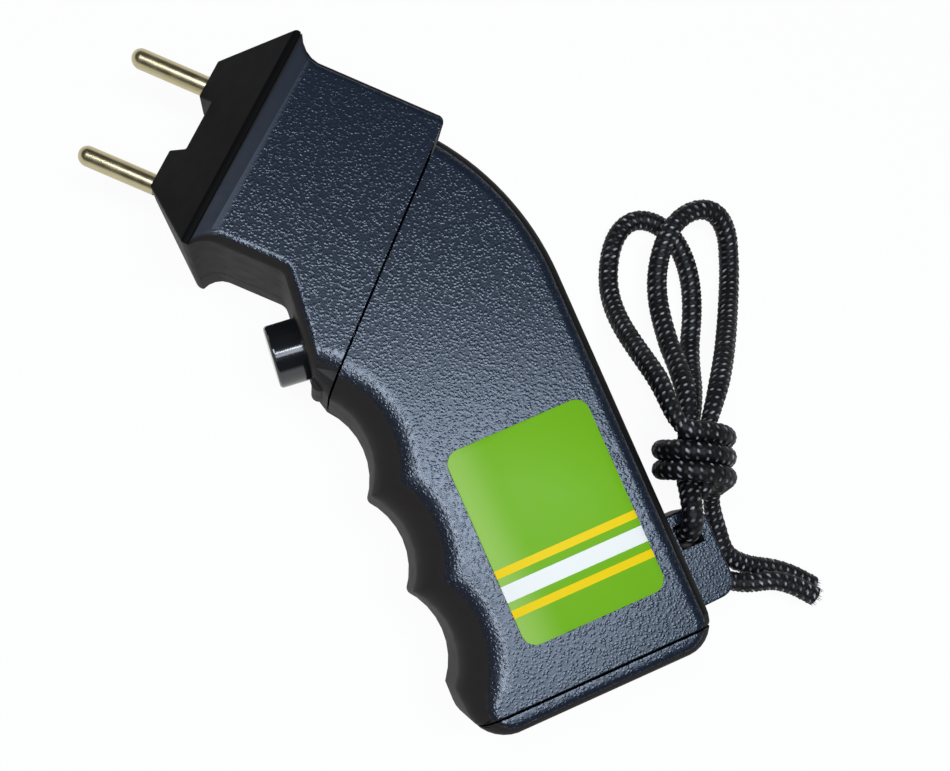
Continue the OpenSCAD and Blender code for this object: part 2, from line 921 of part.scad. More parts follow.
module power_transistor() {
  color("#2a2b2d")
    translate([transistor_x, transistor_y, board_top]) {
      translate([0, 0, leg_h])
        cube([transistor_l, transistor_w, transistor_h]);
      translate([0, 0, leg_h])
        cube([transistor_l, tab_t, tab_h]);
      for (k = [0:leg_n - 1])
        translate([
          (transistor_l - leg_w) / 2 + (k - (leg_n - 1) / 2) * leg_pitch,
          transistor_w / 2,
          0
        ])
          cube([leg_w, leg_t, leg_h + overrun]);
    }
}
capacitor_along = 15.2;
capacitor_x = board_x + capacitor_along;
capacitor_across = 21.2;
capacitor_y = board_y + capacitor_across;
capacitor_r = 3.6;
capacitor_h = 5.6;
module smoothing_capacitor() {
  color("#2b3550")
    translate([capacitor_x, capacitor_y, board_top])
      cylinder(r = capacitor_r, h = capacitor_h);
}
multiplier_n = 4;
multiplier_pitch = 3.4;
multiplier_along = 14;
multiplier_x = board_x + multiplier_along;
multiplier_across = 2;
multiplier_y = board_y + multiplier_across;
multiplier_l = 2.4;
multiplier_w = 2.6;
multiplier_h = 5;
diode_along = 18;
diode_x = board_x + diode_along;
diode_r = 0.9;
diode_l = 2.6;
module multiplier_capacitors() {
  color("#8a5a2b")
    for (k = [0:multiplier_n - 1])
      translate([multiplier_x, multiplier_y + k * multiplier_pitch - multiplier_w / 2, board_top])
        cube([multiplier_l, multiplier_w, multiplier_h]);
}
module multiplier_diodes() {
  color(nose_black)
    for (k = [0:multiplier_n - 1])
      translate([diode_x, multiplier_y + k * multiplier_pitch - diode_l / 2, board_top + diode_r])
        rotate([-90, 0, 0])
          cylinder(r = diode_r, h = diode_l);
}

// Battery with its snap and cradle, in the grip's own frame
stud_h = 3;
stud_r = 3;
stud_pitch = 12.7;
snap_t = 3.4;
snap_w = 25;
snap_h = 12;
cradle_floor_t = 1.6;
cradle_wall = 1.5;
cradle_h = 12;
cradle_ribs = 3;
cradle_rib_t = 2;
cradle_end_gap = 11.4;
battery_low_z = mid_z - battery_t / 2;
module battery() {
  color("#b9bcc0")
    on_grip() {
      translate([battery_s, battery_t_mid - battery_w / 2, battery_low_z])
        cube([battery_l, battery_w, battery_t]);
      for (t = [-stud_pitch / 2, stud_pitch / 2])
        translate([battery_s, battery_t_mid + t, mid_z])
          rotate([0, -90, 0])
            cylinder(r = stud_r, h = stud_h);
    }
}
module battery_snap() {
  color(nose_black)
    on_grip()
      translate([battery_s - stud_h - snap_t, battery_t_mid - snap_w / 2, mid_z - snap_h / 2])
        cube([snap_t, snap_w, snap_h]);
}
module battery_cradle() {
  outer_w = battery_w + 2 * (part_gap + cradle_wall);
  side = battery_t_mid - outer_w / 2;
  cradle_l = battery_l - cradle_end_gap;
  color(shell_black)
    on_grip() {
      translate([battery_s, side, wall])
        cube([cradle_l, outer_w, cradle_floor_t]);
      for (t = [side, side + outer_w - cradle_wall])
        translate([battery_s, t, wall])
          cube([cradle_l, cradle_wall, cradle_h]);
      for (k = [0:cradle_ribs - 1])
        translate([
          battery_s + (cradle_l - cradle_rib_t) * k / (cradle_ribs - 1),
          side,
          wall
        ])
          cube([cradle_rib_t, outer_w, battery_low_z - wall]);
    }
}

// A tube along a row of centres. The section turns with the row without twisting.
function tangent(p, i) = unit(p[min(i + 1, len(p) - 1)] - p[max(i - 1, 0)]);
function square_to(v, t) = unit(v - (v * t) * t);
function frames(t, v, i = 0) =
  i == len(t) ? [] : let (n = square_to(v, t[i])) concat([n], frames(t, n, i + 1));
steep_share = 0.7;
module tube(p, radii, sides) {
  n = len(p);
  t = [for (i = [0:n - 1]) tangent(p, i)];
  start = abs(t[0][2]) > steep_share ? [1, 0, 0] : [0, 0, 1];
  f = frames(t, start);
  last = (n - 1) * sides;
  polyhedron(
    points = [
      for (i = [0:n - 1])
        let (g = cross(t[i], f[i]))
          for (k = [0:sides - 1])
            p[i] + radii[i] * (cos(360 * k / sides) * f[i] + sin(360 * k / sides) * g)
    ],
    faces = concat(
      [for (k = [1:sides - 2]) [0, k, k + 1]],
      side_faces(sides, n, false),
      [for (k = [1:sides - 2]) [last, last + k + 1, last + k]]
    )
  );
}
// A smooth row of centres through route points, straight in its first and last stretch
function curve_point(p, i, share) =
  let (a = p[max(i - 1, 0)])
  let (b = p[i])
  let (c = p[i + 1])
  let (d = p[min(i + 2, len(p) - 1)])
    0.5 * (2 * b + (c - a) * share + (2 * a - 5 * b + 4 * c - d) * share * share
      + (3 * b - a - 3 * c + d) * share * share * share);
function smooth(p, steps) = concat(
  [p[0]],
  [for (i = [1:len(p) - 3]) for (k = [0:steps - 1]) curve_point(p, i, k / steps)],
  [p[len(p) - 2], p[len(p) - 1]]
);

// Leads inside the casing
lead_r = 0.7;
lead_steps = 3;
lead_sides = 8;
module lead(route) {
  p = smooth(route, lead_steps);
  tube(p, [for (q = p) lead_r], lead_sides);
}
board_end_x = board_x + board_l;
lug_face_x = head_inner_x - lug_t;
lug_tail = 1.2;
lead_end_z = mid_z - lug_l + lug_tail;
lead_rise = 2.4;
lead_arch = 5;
upper_hole_in = 1.8;
upper_hole_across = 17.2;
upper_hole_y = board_y + upper_hole_across;
upper_arch_share = 0.25;
upper_turn_share = 0.5;
upper_run_share = 0.78;
lug_way_shares = [0.45, 0.68];
function lug_way(k) = blend(board_end_x, lug_face_x, lug_way_shares[k]);
lead_upper_route = [
  [board_end_x - upper_hole_in, upper_hole_y, board_top],
  [board_end_x - upper_hole_in, upper_hole_y, board_top + lead_rise],
  [board_end_x, upper_hole_y, board_top + lead_arch],
  [board_end_x, upper_hole_y * upper_arch_share, board_top + lead_arch + lead_r],
  [board_end_x, prong_ys[0] * upper_turn_share, board_top + lead_arch],
  [lug_way(0), prong_ys[0] * upper_run_share, board_top + lead_rise + lead_r],
  [lug_way(1), prong_ys[0], lead_end_z],
  [lug_face_x, prong_ys[0], lead_end_z]
];
module lead_upper() {
  color("#c23b2e")
    lead(lead_upper_route);
}
lower_hole_in = 1.2;
lower_hole_across = 25;
lower_hole_y = board_y + lower_hole_across;
lower_arch = 4;
lower_turn_share = 0.4;
lead_lower_route = [
  [board_end_x - lower_hole_in, lower_hole_y, board_top],
  [board_end_x - lower_hole_in, lower_hole_y, board_top + lead_rise],
  [board_end_x, blend(lower_hole_y, prong_ys[1], lower_turn_share), board_top + lower_arch],
  [lug_way(0), prong_ys[1], lead_end_z],
  [lug_way(1), prong_ys[1], lead_end_z],
  [lug_face_x, prong_ys[1], lead_end_z]
];
module lead_lower() {
  color("#2f2f31")
    lead(lead_lower_route);
}

snap_lead_pitch = 8;
snap_plus_t = battery_t_mid + snap_lead_pitch / 2;
snap_minus_t = battery_t_mid - snap_lead_pitch / 2;
snap_back_s = battery_s - stud_h - snap_t;
snap_lead_l = 3;
function snap_lead_at(back, t) = lift(grip_at(snap_back_s - back, t), mid_z);
terminal_h = switch_h - switch_d - terminal_l;
function plus_terminal_at(back) =
  lift(face_at(terminal_h - back, button_along + terminal_pitch / 2), mid_z);
plus_way_shares = [0.44, 0.8];
battery_plus_route = concat(
  [snap_lead_at(0, snap_plus_t), snap_lead_at(snap_lead_l, snap_plus_t)],
  [
    for (share = plus_way_shares)
      blend(snap_lead_at(snap_lead_l, snap_plus_t), plus_terminal_at(snap_lead_l), share)
  ],
  [plus_terminal_at(snap_lead_l), plus_terminal_at(0)]
);
minus_hole_in = 1;
minus_hole = [board_x + minus_hole_in, board_y + minus_hole_in, board_top];
minus_top = minus_hole + [0, 0, lead_rise];
minus_way_shares = [[0.25, 0.62], [0.6, 0.92], [0.9, 0.97]];
function minus_way(share, drop_share) =
  let (from = snap_lead_at(snap_lead_l, snap_minus_t))
  let (p = blend(from, minus_top, share))
    [p[0], p[1], blend(from[2], minus_top[2], drop_share)];
battery_minus_route = concat(
  [snap_lead_at(0, snap_minus_t), snap_lead_at(snap_lead_l, snap_minus_t)],
  [for (q = minus_way_shares) minus_way(q[0], q[1])],
  [minus_top, minus_hole]
);
module battery_lead_plus() {
  color("#c23b2e")
    lead(battery_plus_route);
}
module battery_lead_minus() {
  color("#2f2f31")
    lead(battery_minus_route);
}

module casing_screws() {
  color(steel_grey) {
    at_head_posts() casing_screw();
    at_grip_posts() casing_screw();
  }
}

// Label on the grip's upper face
label_base_gap = 10.6;
label_back_gap = 6.6;
label_s = cap_seam_s - label_base_gap - label_l;
label_side_t = label_back_gap - grip_w;
module side_label() {
  color(label_green)
    on_grip()
      translate([label_s, label_side_t, casing_t]) {
        translate([label_r, 0, 0])
          cube([label_l - 2 * label_r, label_w, label_t]);
        translate([0, label_r, 0])
          cube([label_l, label_w - 2 * label_r, label_t]);
        for (s = [label_r, label_l - label_r])
          for (t = [label_r, label_w - label_r])
            translate([s, t, 0])
              cylinder(r = label_r, h = label_t);
      }
}

// Lanyard: one cord. From its outer end it runs up beside the ear, wraps round the waist of the
// loops, makes the left loop, a small turn below the waist and the right loop, then goes down
// through the ear's slot to its other end. Its route is set out from the slot, and the loops
// are set out across and up from their waist.
cord_r = 2.3;
knot_cord_r = 1.8;
cord_floor_z = 2.4;
cord_side_gap = 0.15;
slot_cord = grip_at(
  ear_start + ear_wall + cord_r + cord_side_gap,
  ear_wall + ear_slot_t / 2 - grip_w - ear_out
);
function from_slot(q) = [slot_cord[0] + q[0], slot_cord[1] + q[1], q[2]];
neck = slot_cord + [6.3, -19.9];
lanyard_turn = 292.8;
knot_z = 20;
knot_gap = 0.6;
knot_end_b = -6;
knot_low_b = -10;
ease_start_b = 2;
ease_b = 10;
strand_r = (2 * knot_cord_r + knot_gap) / sqrt(3);
wrap_r = strand_r + 2 * knot_cord_r + knot_gap;
function lanyard_at(a, b, z) =
  lift(neck + a * dir(lanyard_turn - 90) + b * dir(lanyard_turn), z);
function strand_at(a) = strand_r * dir(a);
left_strand_a = 150;
low_strand_a = 270;
right_strand_a = 30;
function strand_point(a, b) = lanyard_at(strand_at(a)[0], b, knot_z + strand_at(a)[1]);

// A loop from 0 to 360 degrees, up its left leg and down its right. A leg has its width, the
// power that shapes its belly, its place at the waist and the share of its height that it hangs.
gather_power = 3;
left_loop_h = 52.3;
left_loop_lean = -5.6;
left_up_w = 12;
left_up_power = 1;
left_up_waist = [-4.4, 7];
left_up_hang_share = 0.75;
left_down_w = 13.8;
left_down_hang_share = 0.5;
right_loop_h = 53.5;
right_loop_lean = 8;
right_up_w = 14.5;
right_up_power = 2.4;
right_up_hang_share = 0.75;
right_down_w = 12.6;
right_down_hang_share = 0.8;
down_power = 1.35;
cross_lift = 5.4;
cross_at = 153;
cross_span = 75;
function up_share(f) = (1 - cos(f)) / 2;
function loop_at(f, h, lean, w, power, waist, hang_share) =
  let (q = up_share(f))
  let (hang = cos(90 * min(1, q / hang_share)))
    lanyard_at(
      lean * q - w * sin(f) * pow(sin(f / 2), power) + waist[0] * pow(1 - q, gather_power),
      h * q,
      cord_floor_z + (knot_z + waist[1] - cord_floor_z) * hang * hang
    );
function left_leg(f, w, power, waist, hang_share) =
  loop_at(f, left_loop_h, left_loop_lean, w, power, waist, hang_share);
function right_leg(f, w, power, waist, hang_share) =
  loop_at(f, right_loop_h, right_loop_lean, w, power, waist, hang_share);
function left_loop_at(f) =
  f < 180
    ? left_leg(f, left_up_w, left_up_power, left_up_waist, left_up_hang_share)
    : left_leg(f, left_down_w, down_power, strand_at(low_strand_a), left_down_hang_share);
function right_loop_at(f) =
  let (z_lift = cross_lift * cos(min(90, abs(f - cross_at) * 90 / cross_span)))
    [0, 0, z_lift]
      + (f < 180
          ? right_leg(f, right_up_w, right_up_power, strand_at(left_strand_a), right_up_hang_share)
          : right_leg(f, right_down_w, down_power, strand_at(right_strand_a), right_down_hang_share));

// The wrap, from its lower end to its upper end
wrap_start_a = 80;
wrap_turn_a = 795;
wrap_low_b = -9.2;
wrap_high_b = 0.2;
wrap_rings = 24;
wrap_n = round(wrap_rings * wrap_turn_a / 360);
function wrap_at(share) =
  let (a = wrap_start_a - wrap_turn_a * share)
    lanyard_at(wrap_r * sin(a), blend(wrap_low_b, wrap_high_b, share), knot_z + wrap_r * cos(a));
wrap_step_share = 0.125;
wrap_step = wrap_step_share / wrap_n;
wrap_start_dir = unit(wrap_at(wrap_step) - wrap_at(0));
wrap_end_dir = unit(wrap_at(1) - wrap_at(1 - wrap_step));
wrap_start = wrap_at(0) - 2 * knot_cord_r * wrap_start_dir;
wrap_end = wrap_at(1) + 2 * knot_cord_r * wrap_end_dir;
wrap_path = concat([wrap_start], [for (i = [0:wrap_n]) wrap_at(i / wrap_n)], [wrap_end]);

// The loops' path
loop_n = 24;
leg_join_f = 60;
leg_reach = 4;
join_reach = 7;
join_steps = 6;
turn_steps = 6;
run_steps = 2;
function bezier(p, share) =
  pow(1 - share, 3) * p[0] + 3 * share * pow(1 - share, 2) * p[1]
    + 3 * share * share * (1 - share) * p[2] + pow(share, 3) * p[3];
small_turn_from = strand_point(low_strand_a, knot_low_b);
small_turn_to = strand_point(right_strand_a, knot_low_b);
small_turn_mid = (small_turn_from + small_turn_to) / 2;
down_way = lift(-dir(lanyard_turn), 0);
leg_start = left_loop_at(leg_join_f);
leg_dir = unit(left_loop_at(leg_join_f + 1) - leg_start);
leg_curve = [wrap_end, wrap_end + leg_reach * wrap_end_dir, leg_start - join_reach * leg_dir, leg_start];
loops_path = concat(
  [wrap_end, wrap_end + knot_cord_r * wrap_end_dir],
  [for (k = [2:join_steps - 1]) bezier(leg_curve, k / join_steps)],
  [for (k = [leg_join_f * loop_n / 360:loop_n - 1]) left_loop_at(360 * k / loop_n)],
  [for (k = [0:run_steps - 1]) strand_point(low_strand_a, knot_low_b * k / run_steps)],
  [
    for (k = [0:turn_steps])
      small_turn_mid + (small_turn_from - small_turn_mid) * cos(180 * k / turn_steps)
        + down_way * norm(small_turn_from - small_turn_mid) * sin(180 * k / turn_steps)
  ],
  [for (k = [run_steps - 1:-1:1]) strand_point(right_strand_a, knot_low_b * k / run_steps)],
  [for (k = [loop_n:-1:0]) right_loop_at(360 * k / loop_n)],
  [for (k = [1:run_steps]) strand_point(left_strand_a, knot_end_b * k / run_steps)]
);
function up_from_neck(p) = [p[0] - neck[0], p[1] - neck[1]] * dir(lanyard_turn);
function loops_r(p) =
  blend(knot_cord_r, cord_r, max(0, min(1, (up_from_neck(p) - ease_start_b) / ease_b)));
loop_sides = 6;
module lanyard_loops() {
  color(cord_black)
    tube(loops_path, [for (q = loops_path) loops_r(q)], loop_sides);
}
module lanyard_wrap() {
  color(cord_black)
    tube(wrap_path, [for (q = wrap_path) knot_cord_r], loop_sides);
}
// Free ends: the outer strand beside the ear, and the strand through the ear's slot
strand_steps = 2;
strand_sides = 8;
outer_ease = 8;
module strand(route) {
  p = smooth(route, strand_steps);
  color(cord_black)
    tube(
      p,
      [for (i = [0:len(p) - 1]) blend(knot_cord_r, cord_r, min(1, i / outer_ease))],
      strand_sides
    );
}
outer_points = [
  [-5.7, -11.3, 9], [-10.5, -6.1, 5.8], [-14.9, -2.1, 4], [-20.5, -1.7, 2.8], [-27.1, -3.3, 2.4],
  [-32.1, -3.7, 2.4], [-37.1, -3.3, 2.4]
];
outer_route = concat(
  [wrap_start, wrap_start - 2 * knot_cord_r * wrap_start_dir],
  [for (q = outer_points) from_slot(q)]
);
slot_points = [
  [3.8, -8.6, 22.6], [2.8, -5.9, 24.4], [1.7, -3.3, 25.2], [0.5, -0.9, 24.2], [0, 0, 21.2],
  [0, 0, 16.5], [0, 0, 11.6], [-0.5, 0.3, 7.4], [-3.7, 1.3, 4], [-9.1, 2.9, 2.8],
  [-15.3, 3.6, 2.9], [-21.1, 2.7, 5], [-26.7, -0.2, 6.3], [-32.1, -0.9, 6.6], [-36.5, -0.5, 6.6]
];
slot_route = concat(
  [strand_point(left_strand_a, knot_end_b), strand_point(left_strand_a, knot_end_b - 2 * knot_cord_r)],
  [for (q = slot_points) from_slot(q)]
);
module lanyard_outer_strand() {
  strand(outer_route);
}
module lanyard_slot_strand() {
  strand(slot_route);
}

head_shell();
grip_shell();
back_cover();
nose_cap();
base_cap();
battery_pad();
prong_upper();
prong_lower();
prong_nuts();
solder_lugs();
push_button();
button_spring();
switch_plunger();
switch_body();
switch_terminals();
switch_carrier();
circuit_board();
transformer_core();
transformer_winding();
power_transistor();
smoothing_capacitor();
multiplier_capacitors();
multiplier_diodes();
lead_upper();
lead_lower();
battery();
battery_snap();
battery_cradle();
battery_lead_plus();
battery_lead_minus();
casing_screws();
side_label();
lanyard_loops();
lanyard_wrap();
lanyard_outer_strand();
lanyard_slot_strand();
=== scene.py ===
"""Looks of a hand-held cattle prodder, built round its solids in one shared frame, in metres.

X runs forward along the prongs, Y towards the push button and the finger grooves, Z up.
"""

import json
import math
import random

import bmesh
import bpy
from mathutils import Matrix, Vector

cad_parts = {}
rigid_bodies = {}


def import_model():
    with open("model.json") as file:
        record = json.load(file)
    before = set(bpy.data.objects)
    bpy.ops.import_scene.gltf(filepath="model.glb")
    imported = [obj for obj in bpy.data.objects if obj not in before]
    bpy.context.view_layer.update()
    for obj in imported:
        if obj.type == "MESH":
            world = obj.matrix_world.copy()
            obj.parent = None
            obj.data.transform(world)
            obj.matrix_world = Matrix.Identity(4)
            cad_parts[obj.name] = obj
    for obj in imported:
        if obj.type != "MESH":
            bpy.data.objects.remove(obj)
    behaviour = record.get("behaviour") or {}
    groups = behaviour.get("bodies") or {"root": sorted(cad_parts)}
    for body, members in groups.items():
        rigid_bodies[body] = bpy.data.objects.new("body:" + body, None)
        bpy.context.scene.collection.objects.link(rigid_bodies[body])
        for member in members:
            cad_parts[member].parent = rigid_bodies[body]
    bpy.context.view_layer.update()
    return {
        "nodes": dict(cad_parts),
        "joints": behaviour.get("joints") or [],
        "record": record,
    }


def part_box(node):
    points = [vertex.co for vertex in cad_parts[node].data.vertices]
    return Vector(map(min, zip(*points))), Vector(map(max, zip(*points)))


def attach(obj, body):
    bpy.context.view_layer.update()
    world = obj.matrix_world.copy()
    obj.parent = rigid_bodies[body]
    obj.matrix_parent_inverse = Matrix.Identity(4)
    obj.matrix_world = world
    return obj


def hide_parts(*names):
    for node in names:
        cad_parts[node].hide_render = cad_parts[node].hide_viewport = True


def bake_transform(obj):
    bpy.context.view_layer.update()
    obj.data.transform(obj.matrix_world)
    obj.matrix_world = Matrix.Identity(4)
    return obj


for leftover in list(bpy.data.objects):
    bpy.data.objects.remove(leftover)
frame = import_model()

bl_info = {
    "name": "Cattle prodder",
    "version": (1, 0, 0),
    "blender": (4, 5, 0),
    "location": "View3D > Sidebar > Prodder",
    "description": "Finishes a hand-held cattle prodder: casing, prongs, button, label and lanyard",
    "category": "Object",
}

MM = 0.001


def srgb(code):
    """Linear colour of an sRGB hex value."""
    parts = [int(code[i:i + 2], 16) / 255 for i in (1, 3, 5)]
    return tuple(c / 12.92 if c <= 0.04045 else ((c + 0.055) / 1.055) ** 2.4 for c in parts)


def joint_axis(name):
    """Direction of a joint of the frame."""
    return Vector(next(j["axis"] for j in frame["joints"] if j["name"] == name)).normalized()


GRIP_WAY = joint_axis("base_cap_slide")
GRIP_OUT = Vector((GRIP_WAY.y, -GRIP_WAY.x, 0))
GRIP_TURN = math.atan2(GRIP_WAY.y, GRIP_WAY.x)
BUTTON_WAY = -joint_axis("button_press")
PARTING_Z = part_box("head_shell")[0].z
SEAM_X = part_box("head_shell")[0].x
TOP_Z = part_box("grip_shell")[1].z
GROOVE_START = Vector((SEAM_X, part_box("head_shell")[1].y, 0))
# Direction across the picture, from left to right
PICTURE_RIGHT = Vector((-0.922, -0.3875, 0))


def colour(label, what, code):
    """A colour property that starts at an sRGB hex value."""
    return bpy.props.FloatVectorProperty(
        name=label, description=what, subtype="COLOR", size=3, min=0, max=1, default=srgb(code)
    )


def length(label, what, size_mm):
    """A length property in metres that starts at a size in millimetres."""
    return bpy.props.FloatProperty(name=label, description=what, unit="LENGTH", default=size_mm * MM)


def count(label, what, number, least):
    """A property that counts things."""
    return bpy.props.IntProperty(name=label, description=what, default=number, min=least)


def vector(label, what, subtype, start):
    """A place or a direction."""
    return bpy.props.FloatVectorProperty(name=label, description=what, subtype=subtype, default=start)


class ProdderCasing(bpy.types.PropertyGroup):
    """Sizes and colours of the moulded casing."""

    seam_bevel: length("Seam bevel", "Bevel of the edges that meet at a seam", 0.26)
    parting_bevel: length("Parting bevel", "Bevel of the edges along the parting line", 0.2)
    seam_gap: length("Seam gap", "How far each face of a seam is drawn back", 0.25)
    ridge_round: length("Ridge rounding", "Rounding of the ridges between the finger grooves", 1.0)
    finger_pitch: length("Finger pitch", "Distance between finger ridges", 21.6)
    ear_top: length("Ear top", "Height of the strap ear's upper face", 21.4)
    ear_bevel: length("Ear bevel", "Rounding of the strap ear's edges", 0.6)
    lug_top: length("Lug top", "Height below which the head has no grain", 27)
    nose_bevel: length("Nose bevel", "Rounding of the nose's edges", 0.45)
    grain: length("Grain", "Width of one pebble of the moulded grain", 0.64)
    grain_depth: length("Grain depth", "Depth of the moulded grain", 0.036)
    rim_band: length("Rim band", "Width of the smooth band along the rim", 3.6)
    wall_tilt: bpy.props.FloatProperty(
        name="Wall tilt",
        description="A face whose normal rises less than this is a plain side wall",
        default=0.82,
    )
    rim_slant: bpy.props.FloatProperty(
        name="Rim slant",
        description="Slant of the rim against the prongs",
        subtype="ANGLE",
        default=math.radians(4.8),
    )
    # The shell colour is the plastic's near black with a blue cast that paints a cool sheen of reflected
    # light
    shell: colour("Shell", "Grained casing plastic", "#151d29")
    # The wall colour is painted shade with a painted warm reflection, put on the sloping and side faces
    wall: colour("Walls", "Casing plastic on the plain side walls", "#252220")
    # The nose colour is the nose plastic's own black, darkened further as painted shade on the nose
    nose: colour("Nose", "Plain nose plastic", "#090909")
    button: colour("Button", "Glossy button plastic", "#16181b")


class ProdderMetal(bpy.types.PropertyGroup):
    """Colours of the metal pieces."""

    prong: colour("Prong", "Nickel-washed brass", "#c2b894")
    steel: colour("Steel", "Zinc-plated steel", "#a9adb2")
    copper: colour("Copper", "Enamelled copper wire", "#b06a35")


class ProdderLabel(bpy.types.PropertyGroup):
    """Sizes and colours of the side label."""

    corner: length("Corner", "Radius of the label's corners", 3.0)
    edge: length("Edge", "Rounding of the label's upper edge", 0.12)
    long_side: length("Length", "Length of the label along the grip", 42)
    short_side: length("Width", "Width of the label", 31)
    white_band: length("White band", "Width of the white band", 3.4)
    yellow_band: length("Yellow band", "Width of a yellow band", 1.7)
    green: colour("Green", "Printed green", "#76b51f")
    pale_green: colour("Pale green", "Lighter green by the finger side", "#a3cc63")
    yellow: colour("Yellow", "Printed yellow", "#f6d417")
    white: colour("White", "Printed white", "#f4f6ee")


class ProdderLanyard(bpy.types.PropertyGroup):
    """Sizes and colours of the braided lanyard."""

    braid_lead: length("Braid lead", "Length of one turn of a yarn round the cord", 14)
    yarns: count("Yarns", "Yarns that turn each way", 8, 4)
    columns: count("Columns", "Points round the cord", 40, 16)
    ring_step: length("Ring step", "Distance between rings of points along the cord", 0.3)
    relief: length("Relief", "Height of a yarn over the one that it crosses", 0.42)
    fibres: count("Fibres", "Loose fibres at each cut end", 46, 0)
    black: colour("Black", "Black nylon yarn", "#0d0d0e")
    # The fleck colour is a painted glint on the raised yarns
    painted_glint: colour("Fleck", "Pale glint on a raised yarn", "#c4c4cb")


class ProdderStage(bpy.types.PropertyGroup):
    """Floor and camera."""

    floor_side: length("Floor", "Side of the floor", 4000)
    lens: bpy.props.FloatProperty(name="Lens", description="Focal length", unit="CAMERA", default=42.42)
    shift: bpy.props.FloatVectorProperty(
        name="Shift", description="Shift of the picture against the lens", size=2, default=(0.12, 0.15)
    )
    eye: vector("Eye", "Place of the camera", "TRANSLATION", (-0.0098, 0.0759, 0.2549))
    aim: vector("Aim", "Point that the camera looks at", "TRANSLATION", (-0.0166, 0.0626, 0.017))
    picture_up: vector("Picture up", "Direction that is up in the picture", "DIRECTION", (0.386, -0.9225, 0))


def add(tree, kind, inputs=None, **settings):
    """Adds a node with its settings. A value given as an input is set, a node or a socket is linked."""
    made = tree.nodes.new("ShaderNode" + kind)
    for name, value in settings.items():
        setattr(made, name, value)
    for name, value in (inputs or {}).items():
        if isinstance(value, bpy.types.Node):
            value = next(socket for socket in value.outputs if socket.enabled)
        if isinstance(value, bpy.types.NodeSocket):
            tree.links.new(value, made.inputs[name])
        else:
            made.inputs[name].default_value = value
    return made


def start_material(name):
    """An empty material and its node tree."""
    material = bpy.data.materials.new(name)
    material.use_nodes = True
    material.node_tree.nodes.clear()
    return material, material.node_tree


def opaque(rgb, share=1):
    """A colour, made darker or lighter by a share, with full alpha."""
    return (*[min(1, share * c) for c in rgb], 1)


def rim_place(props):
    """Direction square to the slanted rim, and how far along it the rim lies."""
    way = Vector((math.cos(props.rim_slant), -math.sin(props.rim_slant), 0))
    return way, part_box("head_shell")[1].x * way.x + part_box("nose_cap")[1].y * way.y


def grained_abs(props):
    """Black ABS from a tool with a leather grain: dark, with short bright glints on each pebble, and painted
    shade where its faces slope towards the side walls.
    """
    # Waves per pebble of the noise that bends it and of the fine noise on it, and the height of the fine one
    warp_rate, fine_rate, fine_height = 0.45, 1.6, 0.6
    # Distances from a pebble's middle, in its width, between which its dome falls
    dome_top, dome_foot = 0.1, 0.6
    # Shares of the rim's smooth band between which the grain fades out
    band_low, band_high = 1.15, 0.85
    # How level a face is where the grain starts and is whole, and where the side walls' painted shade gives
    # way to the shell's colour
    grain_tilt, shade_tilt = (0.74, 0.9), (0.8, 0.98)
    smooth_rough, grain_rough = 0.5, 0.25
    cloud_size, cloud_light = 18 * MM, 1.25
    material, tree = start_material("Grained moulded ABS")
    coords = add(tree, "TexCoord")
    place = coords.outputs["Object"]
    warp = add(tree, "TexNoise", {"Vector": place, "Scale": warp_rate / props.grain, "Detail": 1.0})
    warp_way = add(tree, "VectorMath", {0: warp.outputs["Color"], 1: (0.5, 0.5, 0.5)}, operation="SUBTRACT")
    warp_step = add(tree, "VectorMath", {0: warp_way, "Scale": props.grain}, operation="SCALE")
    warped = add(tree, "VectorMath", {0: place, 1: warp_step})
    pebble = add(tree, "TexVoronoi", {"Vector": warped, "Scale": 1 / props.grain})
    dome = add(
        tree,
        "MapRange",
        {"Value": pebble, "From Min": dome_top, "From Max": dome_foot, "To Min": 1.0, "To Max": 0.0},
        interpolation_type="SMOOTHSTEP",
    )
    fine = add(tree, "TexNoise", {"Vector": place, "Scale": fine_rate / props.grain, "Detail": 1.0})
    height = add(tree, "Math", {0: fine, 1: fine_height, 2: dome}, operation="MULTIPLY_ADD")
    # The band along the rim is smooth: distance is measured square to the slanted rim
    rim_way, rim_edge = rim_place(props)
    along = add(tree, "VectorMath", {0: place, 1: rim_way}, operation="DOT_PRODUCT")
    keep = add(
        tree,
        "MapRange",
        {
            "Value": along,
            "From Min": rim_edge - band_low * props.rim_band,
            "From Max": rim_edge - band_high * props.rim_band,
            "To Min": 1.0,
            "To Max": 0.0,
        },
    )
    facing = add(tree, "SeparateXYZ", {"Vector": coords.outputs["Normal"]})
    tilt = add(tree, "Math", {0: facing.outputs["Z"]}, operation="ABSOLUTE")
    flat, lit_share = [
        add(
            tree,
            "MapRange",
            {"Value": tilt, "From Min": low, "From Max": high},
            interpolation_type="SMOOTHSTEP",
        )
        for low, high in (grain_tilt, shade_tilt)
    ]
    grained = add(tree, "Math", {0: keep, 1: flat}, operation="MULTIPLY")
    masked = add(tree, "Math", {0: height, 1: grained}, operation="MULTIPLY")
    bump = add(tree, "Bump", {"Height": masked, "Strength": 1.0, "Distance": props.grain_depth})
    cloud = add(tree, "TexNoise", {"Vector": place, "Scale": 1 / cloud_size, "Detail": 3.0})
    rough = add(tree, "MapRange", {"Value": grained, "To Min": smooth_rough, "To Max": grain_rough})
    shell = add(
        tree,
        "Mix",
        {"Factor": cloud, "A": opaque(props.shell), "B": opaque(props.shell, cloud_light)},
        data_type="RGBA",
    )
    # Faces that slope towards the sides take the wall colour: painted shade with a painted warm reflection
    tone = add(tree, "Mix", {"Factor": lit_share, "A": opaque(props.wall), "B": shell}, data_type="RGBA")
    # The blue specular tint, like the shell colour's blue cast, paints a cool sheen of reflected light
    shader = add(
        tree,
        "BsdfPrincipled",
        {
            "Base Color": tone,
            "Roughness": rough,
            "Normal": bump,
            "IOR": 1.54,
            "Specular IOR Level": 0.55,
            "Specular Tint": (0.8, 0.9, 1, 1),
        },
    )
    add(tree, "OutputMaterial", {"Surface": shader})
    return material


